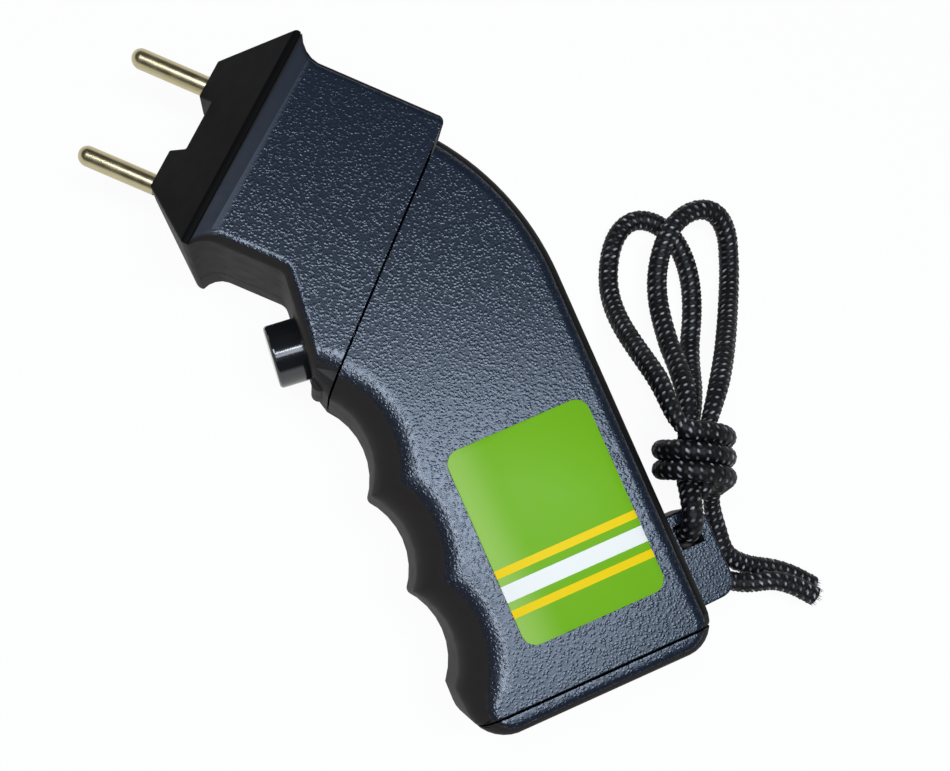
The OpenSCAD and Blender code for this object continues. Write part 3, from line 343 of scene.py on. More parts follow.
def plain_plastic(name, rgb, roughness, speck=3.0, shine=0.5):
    """Plain moulded plastic: an even colour with a faint cloud, speck mm wide, and a fine orange peel."""
    dark, light = 0.9, 1.15
    rough_low, rough_high = 0.85, 1.2
    # The peel of a real moulding is finer, and is drawn this coarse so that it shows
    peel_size, peel_depth = 0.5 * MM, 0.02 * MM
    material, tree = start_material(name)
    place = add(tree, "TexCoord").outputs["Object"]
    cloud = add(tree, "TexNoise", {"Vector": place, "Scale": 1 / (speck * MM), "Detail": 4.0})
    tone = add(
        tree, "Mix", {"Factor": cloud, "A": opaque(rgb, dark), "B": opaque(rgb, light)}, data_type="RGBA"
    )
    rough = add(
        tree,
        "MapRange",
        {"Value": cloud, "To Min": rough_low * roughness, "To Max": min(1, rough_high * roughness)},
    )
    peel = add(tree, "TexNoise", {"Vector": place, "Scale": 1 / peel_size, "Detail": 2.0})
    bump = add(tree, "Bump", {"Height": peel, "Strength": 0.25, "Distance": peel_depth})
    shader = add(
        tree,
        "BsdfPrincipled",
        {"Base Color": tone, "Roughness": rough, "Normal": bump, "IOR": 1.5, "Specular IOR Level": shine},
    )
    add(tree, "OutputMaterial", {"Surface": shader})
    return material


def satin_abs(props):
    """Black ABS from a plain tool, made once for all the pieces that share it: dull, with hardly a shine. On
    the casing's walls that face the back it is painted shade.
    """
    name = "Satin moulded ABS"
    return bpy.data.materials.get(name) or plain_plastic(name, props.nose, roughness=0.5, shine=0.05)


def drawn_metal(name, rgb, roughness, way):
    """Drawn or turned metal: fine lines along one direction, with small dull spots of handling."""
    dark, light = 0.72, 1.2
    rough_low, rough_high = 0.7, 1.4
    # Real lines are a few hundredths of a millimetre wide, and are drawn wider so that they show
    line_width, line_depth, line_stretch = 0.12 * MM, 0.02 * MM, 0.94
    spot = 2.5 * MM
    material, tree = start_material(name)
    place = add(tree, "TexCoord").outputs["Object"]
    scale = tuple(1 / line_width * (1 - line_stretch * abs(c)) for c in way)
    lines_at = add(tree, "Mapping", {"Vector": place, "Scale": scale})
    lines = add(tree, "TexNoise", {"Vector": lines_at, "Scale": 1.0, "Detail": 2.0})
    spots = add(tree, "TexNoise", {"Vector": place, "Scale": 1 / spot, "Detail": 5.0, "Roughness": 0.65})
    tone = add(
        tree, "Mix", {"Factor": spots, "A": opaque(rgb, dark), "B": opaque(rgb, light)}, data_type="RGBA"
    )
    rough = add(
        tree,
        "MapRange",
        {"Value": spots, "To Min": rough_low * roughness, "To Max": rough_high * roughness},
    )
    bump = add(tree, "Bump", {"Height": lines, "Strength": 0.35, "Distance": line_depth})
    shader = add(
        tree, "BsdfPrincipled", {"Base Color": tone, "Metallic": 1.0, "Roughness": rough, "Normal": bump}
    )
    add(tree, "OutputMaterial", {"Surface": shader})
    return material


def printed_film(props, centre):
    """Printed vinyl: satin green that pales towards the finger side, with plain bands across it."""
    # Shares of the label's width between which the pale edge fades, how pale it is, and where the bands lie
    pale_from, pale_to, pale_share = -0.5, -0.2, 0.75
    band_middle = 0.22 * props.long_side
    scuff_size, ripple_depth = 6 * MM, 0.05 * MM
    rough_low, rough_high = 0.42, 0.58
    material, tree = start_material("Printed vinyl film")
    place = add(tree, "TexCoord").outputs["Object"]
    on_label = add(
        tree,
        "Mapping",
        {"Vector": place, "Location": centre, "Rotation": (0, 0, GRIP_TURN)},
        vector_type="TEXTURE",
    )
    part = add(tree, "SeparateXYZ", {"Vector": on_label})
    fade = add(
        tree,
        "MapRange",
        {
            "Value": part.outputs["Y"],
            "From Min": pale_from * props.short_side,
            "From Max": pale_to * props.short_side,
            "To Min": pale_share,
            "To Max": 0.0,
        },
        interpolation_type="SMOOTHSTEP",
    )
    shade = add(
        tree,
        "Mix",
        {"Factor": fade, "A": opaque(props.green), "B": opaque(props.pale_green)},
        data_type="RGBA",
    )
    # A yellow band lies its own width away from the white one
    yellow_at = 0.5 * props.white_band + 1.5 * props.yellow_band
    for offset, width, ink in (
        (0.0, props.white_band, props.white),
        (yellow_at, props.yellow_band, props.yellow),
        (-yellow_at, props.yellow_band, props.yellow),
    ):
        away = add(tree, "Math", {0: part.outputs["X"], 1: band_middle + offset}, operation="SUBTRACT")
        near = add(tree, "Math", {0: away}, operation="ABSOLUTE")
        inside = add(tree, "Math", {0: near, 1: 0.5 * width}, operation="LESS_THAN")
        shade = add(tree, "Mix", {"Factor": inside, "A": shade, "B": opaque(ink)}, data_type="RGBA")
    scuff = add(tree, "TexNoise", {"Vector": place, "Scale": 1 / scuff_size, "Detail": 6.0})
    rough = add(tree, "MapRange", {"Value": scuff, "To Min": rough_low, "To Max": rough_high})
    ripple = add(tree, "Bump", {"Height": scuff, "Strength": 0.2, "Distance": ripple_depth})
    shader = add(
        tree,
        "BsdfPrincipled",
        {"Base Color": shade, "Roughness": rough, "Normal": ripple, "Specular IOR Level": 0.15},
    )
    add(tree, "OutputMaterial", {"Surface": shader})
    return material


def braided_nylon(props):
    """Black braided nylon, with painted shade between the yarns, painted light on their crowns and a painted
    pale glint on many raised yarns.
    """
    crevice_shade_share, crown_light_share = 0.35, 1.5
    # A nylon fibre is a few hundredths of a millimetre thick, and is drawn this coarse so that it shows
    fibre_size, fibre_depth = 0.16 * MM, 0.05 * MM
    material, tree = start_material("Braided nylon cord")
    crown, painted_glint = [
        add(tree, "Attribute", attribute_name=name).outputs["Fac"] for name in ("crown", "painted_glint")
    ]
    place = add(tree, "TexCoord").outputs["Object"]
    fibre = add(tree, "TexNoise", {"Vector": place, "Scale": 1 / fibre_size, "Detail": 2.0})
    # The yarn is darker where it sinks and lighter on its crown: painted shade and painted highlight
    yarn = add(
        tree,
        "Mix",
        {"Factor": crown, "A": opaque(props.black, crevice_shade_share), "B": opaque(props.black, crown_light_share)},
        data_type="RGBA",
    )
    tone = add(tree, "Mix", {"Factor": painted_glint, "A": yarn, "B": opaque(props.painted_glint)}, data_type="RGBA")
    bump = add(tree, "Bump", {"Height": fibre, "Strength": 0.6, "Distance": fibre_depth})
    shader = add(
        tree,
        "BsdfPrincipled",
        {"Base Color": tone, "Roughness": 0.5, "Normal": bump, "Specular IOR Level": 0.2},
    )
    add(tree, "OutputMaterial", {"Surface": shader})
    return material


def seen_rays(tree):
    """A node that gives 1 on the rays that show the background: to the eye, in gloss and through glass."""
    path = add(tree, "LightPath")
    seen = path.outputs["Is Camera Ray"]
    for ray in ("Is Glossy Ray", "Is Transmission Ray"):
        seen = add(tree, "Math", {0: seen, 1: path.outputs[ray]}, operation="MAXIMUM")
    return seen


def pale_floor():
    """White card: white to the eye and in reflections, and it keeps a soft shadow."""
    glow_share = 0.94
    grey_low, grey_high = 0.86, 0.9
    fibre_size = 4 * MM
    material, tree = start_material("White card")
    share = add(tree, "Math", {0: seen_rays(tree), 1: glow_share}, operation="MULTIPLY")
    place = add(tree, "TexCoord").outputs["Object"]
    fibre = add(tree, "TexNoise", {"Vector": place, "Scale": 1 / fibre_size, "Detail": 3.0})
    tone = add(
        tree,
        "Mix",
        {"Factor": fibre, "A": opaque(3 * [grey_low]), "B": opaque(3 * [grey_high])},
        data_type="RGBA",
    )
    card = add(tree, "BsdfDiffuse", {"Color": tone})
    glow = add(tree, "Emission", {"Color": (1, 1, 1, 1), "Strength": 1.0})
    mixed = add(tree, "MixShader", {0: share, 1: card, 2: glow})
    add(tree, "OutputMaterial", {"Surface": mixed})
    return material


def take_alone(obj):
    """Leaves one object selected and active."""
    bpy.ops.object.select_all(action="DESELECT")
    obj.select_set(True)
    bpy.context.view_layer.objects.active = obj


def dress(obj, *materials):
    """Gives an object its materials."""
    obj.data.materials.clear()
    for material in materials:
        obj.data.materials.append(material)


def place_piece(obj, body, slot, *nodes):
    """Makes a finished piece ride on its body and stand for CAD nodes."""
    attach(obj, body)
    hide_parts(*nodes)


# Points nearer than MERGE are one, and faces that turn less than SAME_FACE are one
MERGE = 0.002 * MM
SAME_FACE = math.radians(0.2)
# Edges that turn by more than this are shaded sharp
SMOOTH_BELOW = math.radians(38)
# Least cosine between a face's normal and the way that it is taken to face
FACING = 0.99


def copy_solid(node, piece):
    """A merged copy of a CAD node, with its flat faces whole, left in edit mode."""
    obj = bpy.data.objects.new(piece, frame["nodes"][node].data.copy())
    bpy.context.scene.collection.objects.link(obj)
    take_alone(obj)
    bpy.ops.object.mode_set(mode="EDIT")
    bpy.ops.mesh.select_mode(type="EDGE")
    bpy.ops.mesh.select_all(action="SELECT")
    bpy.ops.mesh.customdata_custom_splitnormals_clear()
    bpy.ops.mesh.remove_doubles(threshold=MERGE)
    bpy.ops.mesh.dissolve_limited(angle_limit=SAME_FACE)
    return obj


def select_edges(obj, rule, least_turn):
    """Selects the edges, in edit mode, that turn by more than an angle and obey a rule."""
    bpy.ops.mesh.select_all(action="DESELECT")
    mesh = bmesh.from_edit_mesh(obj.data)
    found = 0
    for edge in mesh.edges:
        if len(edge.link_faces) == 2 and edge.calc_face_angle(0) > least_turn:
            if rule(*[v.co for v in edge.verts]):
                edge.select = True
                found += 1
    mesh.select_flush_mode()
    bmesh.update_edit_mesh(obj.data)
    return found


def round_edges(obj, rule, width, steps, least_turn):
    """Rounds the edges that turn by more than an angle and obey a rule."""
    if not select_edges(obj, rule, least_turn):
        raise RuntimeError(f"{obj.name}: no edge to round")
    bpy.ops.mesh.bevel(offset=width, segments=steps, affect="EDGES", profile=0.5, clamp_overlap=False)


def draw_back(obj, way, rule, gap):
    """Draws the faces that face a way and obey a rule back by a gap, which shows as a dark line."""
    bpy.ops.mesh.select_all(action="DESELECT")
    mesh = bmesh.from_edit_mesh(obj.data)
    for face in mesh.faces:
        if face.normal.dot(way) > FACING and rule(*[v.co for v in face.verts][:2]):
            face.select = True
    mesh.select_flush(True)
    bmesh.update_edit_mesh(obj.data)
    bpy.ops.transform.translate(value=-gap * way)


def finish_solid(obj):
    """Leaves edit mode and shades the piece, with flat faces kept flat."""
    bpy.ops.mesh.select_all(action="SELECT")
    bpy.ops.mesh.remove_doubles(threshold=MERGE)
    bpy.ops.object.mode_set(mode="OBJECT")
    take_alone(obj)
    bpy.ops.object.shade_smooth_by_angle(angle=SMOOTH_BELOW)
    weighted = obj.modifiers.new("Even shading", "WEIGHTED_NORMAL")
    weighted.keep_sharp = True
    bpy.ops.object.modifier_apply(modifier=weighted.name)


# How near a point lies to what a rule names
NEAR = 0.01 * MM
CAP_SEAM_NEAR = 0.4 * MM
RIDGE_NEAR = 0.6 * MM
# Below this height the cap has no tongue, so that it starts at its seam
CAP_FOOT_Z = 3 * MM
# The ridges between the finger grooves, counted from the seam, and the depth and height they keep within
RIDGES = (1, 2)
GROOVE_DEPTH = 11 * MM
RIDGE_TOP_Z = TOP_Z - 8 * MM
# Distance from the slot's middle, in millimetres, within which an edge of the ear belongs to the slot
SLOT_REACH = 4.5


def on_height(z):
    """Rule: both ends lie at one height."""
    return lambda a, b: abs(a.z - z) < NEAR and abs(b.z - z) < NEAR


def on_ear(z):
    """Rule: both ends lie on the outer edge of the strap ear's upper face."""
    def outer(p):
        return abs(p.z - z) < NEAR and (p.to_2d() / MM - SLOT).length > SLOT_REACH

    return lambda a, b: outer(a) and outer(b)


def on_seam(a, b):
    """Rule: both ends lie on the seam of head and grip."""
    return abs(a.x - SEAM_X) < NEAR and abs(b.x - SEAM_X) < NEAR


def grip_run(p):
    """How far along the grip a point lies, from the start of the finger grooves."""
    return (p - GROOVE_START).dot(GRIP_WAY)


def on_cap_seam():
    """Rule: both ends lie on the seam of grip and base cap."""
    seam = min(grip_run(v.co) for v in frame["nodes"]["base_cap"].data.vertices if v.co.z < CAP_FOOT_Z)
    return lambda a, b: all(abs(grip_run(p) - seam) < CAP_SEAM_NEAR for p in (a, b))


def on_ridge(pitch):
    """Rule: both ends lie on a ridge between two finger grooves, one above the other."""
    def near(p, ridge):
        out = (p - GROOVE_START).dot(GRIP_OUT)
        return abs(grip_run(p) - ridge * pitch) < RIDGE_NEAR and out > -GROOVE_DEPTH

    def rule(a, b):
        upright = abs(a.z - b.z) > NEAR and max(a.z, b.z) < RIDGE_TOP_Z
        return upright and any(near(a, ridge) and near(b, ridge) for ridge in RIDGES)

    return rule


class PRODDER_OT_camera(bpy.types.Operator):
    """Puts the camera above the object, as in the photograph"""

    bl_idname = "prodder.camera"
    bl_label = "Camera"

    def execute(self, context):
        props = context.scene.prodder_stage
        data = bpy.data.cameras.new("Camera")
        data.lens = props.lens
        data.shift_x, data.shift_y = props.shift
        camera = bpy.data.objects.new("Camera", data)
        context.scene.collection.objects.link(camera)
        eye, aim = Vector(props.eye), Vector(props.aim)
        back = (eye - aim).normalized()
        right = Vector(props.picture_up).cross(back).normalized()
        up = back.cross(right)
        camera.matrix_world = Matrix((right, up, back)).transposed().to_4x4()
        camera.location = eye
        data.clip_start = 0.01
        context.scene.camera = camera
        return {"FINISHED"}


def plan(angle):
    """Direction in the plan at an angle in degrees."""
    return Vector((math.cos(math.radians(angle)), math.sin(math.radians(angle))))


# The lanyard's route, in millimetres and degrees as in the part's source: B runs up from its waist
CORD_R = 2.3
KNOT_CORD_R = 1.8
WRAP_CORD_R = 2.25
CORD_FLOOR_Z = 2.4
SLOT = Vector((-80.88, 36.92))
NECK = SLOT + Vector((6.3, -19.9))
LANYARD_TURN = 292.8
KNOT_Z = 20
KNOT_GAP = 0.6
KNOT_END_B = -6
KNOT_LOW_B = -10
EASE_START_B = 2
EASE_B = 10
STRAND_R = (2 * KNOT_CORD_R + KNOT_GAP) / math.sqrt(3)
WRAP_R = STRAND_R + 2 * KNOT_CORD_R + KNOT_GAP
LEFT_A, LOW_A, RIGHT_A = 150, 270, 30
GATHER_POWER = 3
LEFT_LOOP = {
    "h": 52.3,
    "lean": -5.6,
    "legs": (
        {"width": 12, "power": 1, "waist": (-4.4, 7), "hang_share": 0.75},
        {"width": 13.8, "power": 1.35, "waist": STRAND_R * plan(LOW_A), "hang_share": 0.5},
    ),
}
RIGHT_LOOP = {
    "h": 53.5,
    "lean": 8,
    "legs": (
        {"width": 14.5, "power": 2.4, "waist": STRAND_R * plan(LEFT_A), "hang_share": 0.75},
        {"width": 12.6, "power": 1.35, "waist": STRAND_R * plan(RIGHT_A), "hang_share": 0.8},
    ),
}
CROSS_LIFT, CROSS_AT, CROSS_SPAN = 5.4, 153, 75
WRAP_START_A, WRAP_TURN_A, WRAP_LOW_B, WRAP_HIGH_B = 80, 795, -9.2, 0.2
LEG_JOIN_F, LEG_REACH, JOIN_REACH = 60, 4, 7
OUTER_POINTS = [
    (-5.7, -11.3, 9), (-10.5, -6.1, 5.8), (-14.9, -2.1, 4), (-20.5, -1.7, 2.8), (-27.1, -3.3, 2.4),
    (-32.1, -3.7, 2.4), (-37.1, -3.3, 2.4),
]
SLOT_POINTS = [
    (3.8, -8.6, 22.6), (2.8, -5.9, 24.4), (1.7, -3.3, 25.2), (0.5, -0.9, 24.2), (0, 0, 21.2), (0, 0, 16.5),
    (0, 0, 11.6), (-0.5, 0.3, 7.4), (-3.7, 1.3, 4), (-9.1, 2.9, 2.8), (-15.3, 3.6, 2.9), (-21.1, 2.7, 5),
    (-26.7, -0.2, 6.3), (-32.1, -0.9, 6.6), (-36.5, -0.5, 6.6),
]
# Lengths from the two cut ends that keep the cord's full thickness, and the length over which it then thins
OUTER_FULL, SLOT_FULL, STRAND_EASE = 24, 64, 15
# Points of the route in one stretch, in the join and in one turn of the wrap, and how often kinks are eased
ROUTE_STEPS = 24
JOIN_STEPS = 96
WRAP_STEPS = 72
EASE_ROUNDS = 10
# Share of the wrap over which the direction of its ends is taken
WRAP_HINT = 0.001
BRAID_SEED, FRAY_SEED = 7, 19
# Rings of points over which the direction of a cut end is taken
END_RINGS = 4
# Fall of a yarn's edge below its middle, in reliefs
YARN_FALL = 0.62
# How far over and how near its middle a yarn gets its painted glint, how fast that brightens, and how bright
# it may get
GLINT_OVER, GLINT_MIDDLE, GLINT_GAIN, GLINT_RANGE = 0.62, 0.78, 1.6, (0.1, 1.0)
# Loose fibres: radius, depth of the root and length in millimetres, lean, and share of the end they cover
FIBRE_R, FIBRE_ROOT, FIBRE_LENGTH, FIBRE_LEAN, FIBRE_COVER = 0.16, 0.3, (0.7, 1.7), (0.05, 0.5), (0.05, 0.8)
# Loose fibres are darker at the root and lighter at the tip as painted shade, and their tips get a painted
# glint
FIBRE_CROWNS, FIBRE_GLINT = (0.2, 0.2, 0.2, 1.0), (0, 0.5)


def lanyard_at(a, b, z):
    """A point across and up from the lanyard's waist."""
    p = NECK + a * plan(LANYARD_TURN - 90) + b * plan(LANYARD_TURN)
    return Vector((p.x, p.y, z))


def from_slot(points):
    """Route points that are set out from the cord's place in the ear's slot."""
    return [SLOT.to_3d() + Vector(q) for q in points]


def strand_point(angle, b):
    """A point of one of the three strands inside the wrap."""
    q = STRAND_R * plan(angle)
    return lanyard_at(q.x, b, KNOT_Z + q.y)


def loop_at(f, loop):
    """A point of a loop, from 0 degrees at the waist to 360 at the waist again. Each half is a leg."""
    leg = loop["legs"][f >= 180]
    q = (1 - math.cos(math.radians(f))) / 2
    hang = math.cos(math.radians(90 * min(1, q / leg["hang_share"]))) ** 2
    belly = leg["width"] * math.sin(math.radians(f)) * max(0, math.sin(math.radians(f / 2))) ** leg["power"]
    across = loop["lean"] * q - belly + leg["waist"][0] * (1 - q) ** GATHER_POWER
    return lanyard_at(across, loop["h"] * q, CORD_FLOOR_Z + (KNOT_Z + leg["waist"][1] - CORD_FLOOR_Z) * hang)


def right_loop_at(f):
    """A point of the right loop, which passes over the left one near its top."""
    rise = CROSS_LIFT * math.cos(math.radians(min(90, abs(f - CROSS_AT) * 90 / CROSS_SPAN)))
    return loop_at(f, RIGHT_LOOP) + Vector((0, 0, rise))


def wrap_at(share):
    """A point of the wrap, from its lower end to its upper end."""
    a = math.radians(WRAP_START_A - WRAP_TURN_A * share)
    b = WRAP_LOW_B + (WRAP_HIGH_B - WRAP_LOW_B) * share
    return lanyard_at(WRAP_R * math.sin(a), b, KNOT_Z + WRAP_R * math.cos(a))


def smooth_route(points):
    """A curve through route points that is straight in its first and last stretch."""
    p = [Vector(q) for q in points]
    made = [p[0]]
    for i in range(1, len(p) - 2):
        a, b, c, d = p[i - 1:i + 3]
        for k in range(ROUTE_STEPS):
            t = k / ROUTE_STEPS
            square = 2 * b + (c - a) * t + (2 * a - 5 * b + 4 * c - d) * t ** 2
            made.append(0.5 * (square + (3 * b - a - 3 * c + d) * t ** 3))
    return made + p[-2:]


def pulled_curve(pull):
    """A smooth curve from the first of four points towards the last, which it stops short of."""
    made = []
    for k in range(JOIN_STEPS):
        t = k / JOIN_STEPS
        weights = ((1 - t) ** 3, 3 * t * (1 - t) ** 2, 3 * t * t * (1 - t), t ** 3)
        made.append(sum((w * p for w, p in zip(weights, pull)), Vector((0, 0, 0))))
    return made


def lanyard_route():
    """Points of the whole cord, in millimetres, from its outer end to the end that comes from the slot."""
    lead_in = 2 * KNOT_CORD_R
    wrap_start_way = (wrap_at(WRAP_HINT) - wrap_at(0)).normalized()
    wrap_end_way = (wrap_at(1) - wrap_at(1 - WRAP_HINT)).normalized()
    wrap_start = wrap_at(0) - lead_in * wrap_start_way
    wrap_end = wrap_at(1) + lead_in * wrap_end_way
    outer = smooth_route([wrap_start, wrap_start - lead_in * wrap_start_way, *from_slot(OUTER_POINTS)])
    slot_starts = [strand_point(LEFT_A, KNOT_END_B), strand_point(LEFT_A, KNOT_END_B - lead_in)]
    slot = smooth_route([*slot_starts, *from_slot(SLOT_POINTS)])
    leg_start = loop_at(LEG_JOIN_F, LEFT_LOOP)
    leg_way = (loop_at(LEG_JOIN_F + 1, LEFT_LOOP) - leg_start).normalized()
    pull = (wrap_end + LEG_REACH * wrap_end_way, leg_start - JOIN_REACH * leg_way)
    join = pulled_curve((wrap_end, *pull, leg_start))
    turn_from, turn_to = strand_point(LOW_A, KNOT_LOW_B), strand_point(RIGHT_A, KNOT_LOW_B)
    turn_mid = (turn_from + turn_to) / 2
    turn_r = (turn_from - turn_mid).length
    down = -plan(LANYARD_TURN).to_3d()
    turn = []
    for k in range(ROUTE_STEPS + 1):
        angle = math.pi * k / ROUTE_STEPS
        turn.append(turn_mid + (turn_from - turn_mid) * math.cos(angle) + down * turn_r * math.sin(angle))
    wrap_points = round(WRAP_STEPS * WRAP_TURN_A / 360)
    runs = range(1, ROUTE_STEPS)
    return [
        *reversed(outer[1:]),
        *[wrap_at(k / wrap_points) for k in range(wrap_points + 1)],
        *join,
        *[loop_at(f, LEFT_LOOP) for f in range(LEG_JOIN_F, 360)],
        *[strand_point(LOW_A, KNOT_LOW_B * k / ROUTE_STEPS) for k in runs],
        *turn,
        *[strand_point(RIGHT_A, KNOT_LOW_B * k / ROUTE_STEPS) for k in reversed(runs)],
        *[right_loop_at(f) for f in range(360, -1, -1)],
        *[strand_point(LEFT_A, KNOT_END_B * k / ROUTE_STEPS) for k in runs],
        *slot,
    ]


def even_route(points, step):
    """The route with its points a step apart, with small kinks eased."""
    def spaced(row):
        made, left = [row[0]], step
        for p, q in zip(row, row[1:]):
            run = (q - p).length
            at = left
            while at <= run:
                made.append(p.lerp(q, at / run))
                at += step
            left = at - run
        return made

    row = spaced(points)
    for _ in range(EASE_ROUNDS):
        eased = [0.25 * a + 0.5 * b + 0.25 * c for a, b, c in zip(row, row[1:], row[2:])]
        row = [row[0], *eased, row[-1]]
    return spaced(row)


def cord_radius(p, at, total):
    """Radius of the cord at a point, which is drawn tight inside the knot."""
    up = (p.to_2d() - NECK).dot(plan(LANYARD_TURN))
    in_loop = (up - EASE_START_B) / EASE_B
    outer_end = 1 - (at - OUTER_FULL) / STRAND_EASE
    slot_end = 1 - (total - at - SLOT_FULL) / STRAND_EASE
    full = KNOT_CORD_R + (CORD_R - KNOT_CORD_R) * max(0, min(1, max(in_loop, outer_end, slot_end)))
    across = (p.to_2d() - NECK).dot(plan(LANYARD_TURN - 90))
    from_axis = math.hypot(across, p.z - KNOT_Z)
    in_wrap = 1 + min(0, up - WRAP_LOW_B, WRAP_HIGH_B - up, from_axis - WRAP_R) / KNOT_CORD_R
    return full + max(0, WRAP_CORD_R - full) * max(0, in_wrap)


class PRODDER_OT_lanyard(bpy.types.Operator):
    """Braids the lanyard along its route"""

    bl_idname = "prodder.lanyard"
    bl_label = "Lanyard"

    def execute(self, context):
        props = context.scene.prodder_lanyard
        step = props.ring_step / MM
        row = even_route(lanyard_route(), step)
        verts, crowns, painted_glints = self.braid(row, step, props)
        faces = self.skin(len(row), props.columns)
        self.fray(row, props.fibres, verts, faces, crowns, painted_glints)
        mesh = bpy.data.meshes.new("lanyard_cord")
        mesh.from_pydata(verts, [], faces)
        for name, values in (("crown", crowns), ("painted_glint", painted_glints)):
            mesh.attributes.new(name, "FLOAT", "POINT").data.foreach_set("value", values)
        cord = bpy.data.objects.new("lanyard_cord", mesh)
        context.scene.collection.objects.link(cord)
        take_alone(cord)
        bpy.ops.object.mode_set(mode="EDIT")
        bpy.ops.mesh.select_all(action="SELECT")
        bpy.ops.mesh.normals_make_consistent(inside=False)
        bpy.ops.object.mode_set(mode="OBJECT")
        bpy.ops.object.shade_smooth_by_angle(angle=math.radians(75))
        dress(cord, braided_nylon(props))
        solids = ("lanyard_loops", "lanyard_wrap", "lanyard_outer_strand", "lanyard_slot_strand")
        place_piece(cord, "casing", "cord", *solids)
        return {"FINISHED"}

    @staticmethod
    def braid(row, step, props):
        """Points of the braid round its route, with how raised each one is and how bright its painted glint
        is.
        """
        columns, yarns = props.columns, props.yarns
        lead, relief = props.braid_lead / MM, props.relief / MM
        last = len(row) - 1
        picker = random.Random(BRAID_SEED)
        bright = {}
        verts, crowns, painted_glints = [], [], []
        normal = Vector((0, 0, 1))
        for i, p in enumerate(row):
            way = (row[min(i + 1, last)] - row[max(i - 1, 0)]).normalized()
            normal = (normal - normal.dot(way) * way).normalized()
            side = way.cross(normal)
            at = i * step
            full = cord_radius(p, at, last * step)
            phase = yarns * at / lead
            over = math.cos(math.pi * (2 * phase - 0.5))
            crossing = max(0, over - GLINT_OVER) / (1 - GLINT_OVER)
            for c in range(columns):
                u = yarns * c / columns
                # The yarns that turn one way, and those that turn the other way and cross them
                profiles = [math.cos(math.pi * (q - round(q))) for q in (u - phase, u + phase - 0.5)]
                high = max(
                    0.5 * lift * relief + YARN_FALL * relief * (profile - 1)
                    for profile, lift in zip(profiles, (over, -over))
                )
                r = full - 0.5 * relief + max(high, -relief)
                angle = 2 * math.pi * c / columns
                verts.append((p + r * (math.cos(angle) * normal + math.sin(angle) * side)) * MM)
                crowns.append(max(0, min(1, 1 + (high - 0.5 * relief) / relief)))
                cell = (round(u - phase) % yarns, round(2 * phase - 0.5))
                if cell not in bright:
                    bright[cell] = picker.uniform(*GLINT_RANGE)
                middle = max(0, profiles[0] - GLINT_MIDDLE) / (1 - GLINT_MIDDLE)
                painted_glints.append(min(1, GLINT_GAIN * crossing * middle) * bright[cell])
        return verts, crowns, painted_glints

    @staticmethod
    def skin(rings, columns):
        """Faces between the rings of points, with both ends closed."""
        faces = []
        for i in range(rings - 1):
            for c in range(columns):
                a, b = i * columns + c, i * columns + (c + 1) % columns
                faces.append((a, b, b + columns, a + columns))
        faces.append(tuple(reversed(range(columns))))
        faces.append(tuple((rings - 1) * columns + c for c in range(columns)))
        return faces

    @staticmethod
    def fray(row, fibres, verts, faces, crowns, painted_glints):
        """Short loose fibres at the two cut ends."""
        picker = random.Random(FRAY_SEED)
        for end, inner in ((row[0], row[END_RINGS]), (row[-1], row[-1 - END_RINGS])):
            out = (end - inner).normalized()
            side = out.orthogonal().normalized()
            other = out.cross(side)
            for _ in range(fibres):
                angle = picker.uniform(0, 2 * math.pi)
                radius = CORD_R * math.sqrt(picker.uniform(*FIBRE_COVER))
                radial = math.cos(angle) * side + math.sin(angle) * other
                root = end + radius * radial - FIBRE_ROOT * out
                tip = root + picker.uniform(*FIBRE_LENGTH) * (out + picker.uniform(*FIBRE_LEAN) * radial)
                a, b, c, d = range(len(verts), len(verts) + 4)
                for k in range(3):
                    turn = 2 * math.pi * k / 3
                    verts.append((root + FIBRE_R * (math.cos(turn) * side + math.sin(turn) * other)) * MM)
                verts.append(tip * MM)
                faces.extend([(a, b, d), (b, c, d), (c, a, d), (c, b, a)])
                crowns.extend(FIBRE_CROWNS)
                painted_glints.extend([0.0, 0.0, 0.0, picker.uniform(*FIBRE_GLINT)])


# Order of the shells' finishes, the drafted and the satin one painting shade on walls, least turn of a
# rounded edge, and least lean of a wall that faces the back and is painted near black as shade
GRAINED, SHADED_WALL, SHADED_BACK, SMOOTH = range(4)
SHELL_TURN = math.radians(30)
BACK_LEAN = 0.5


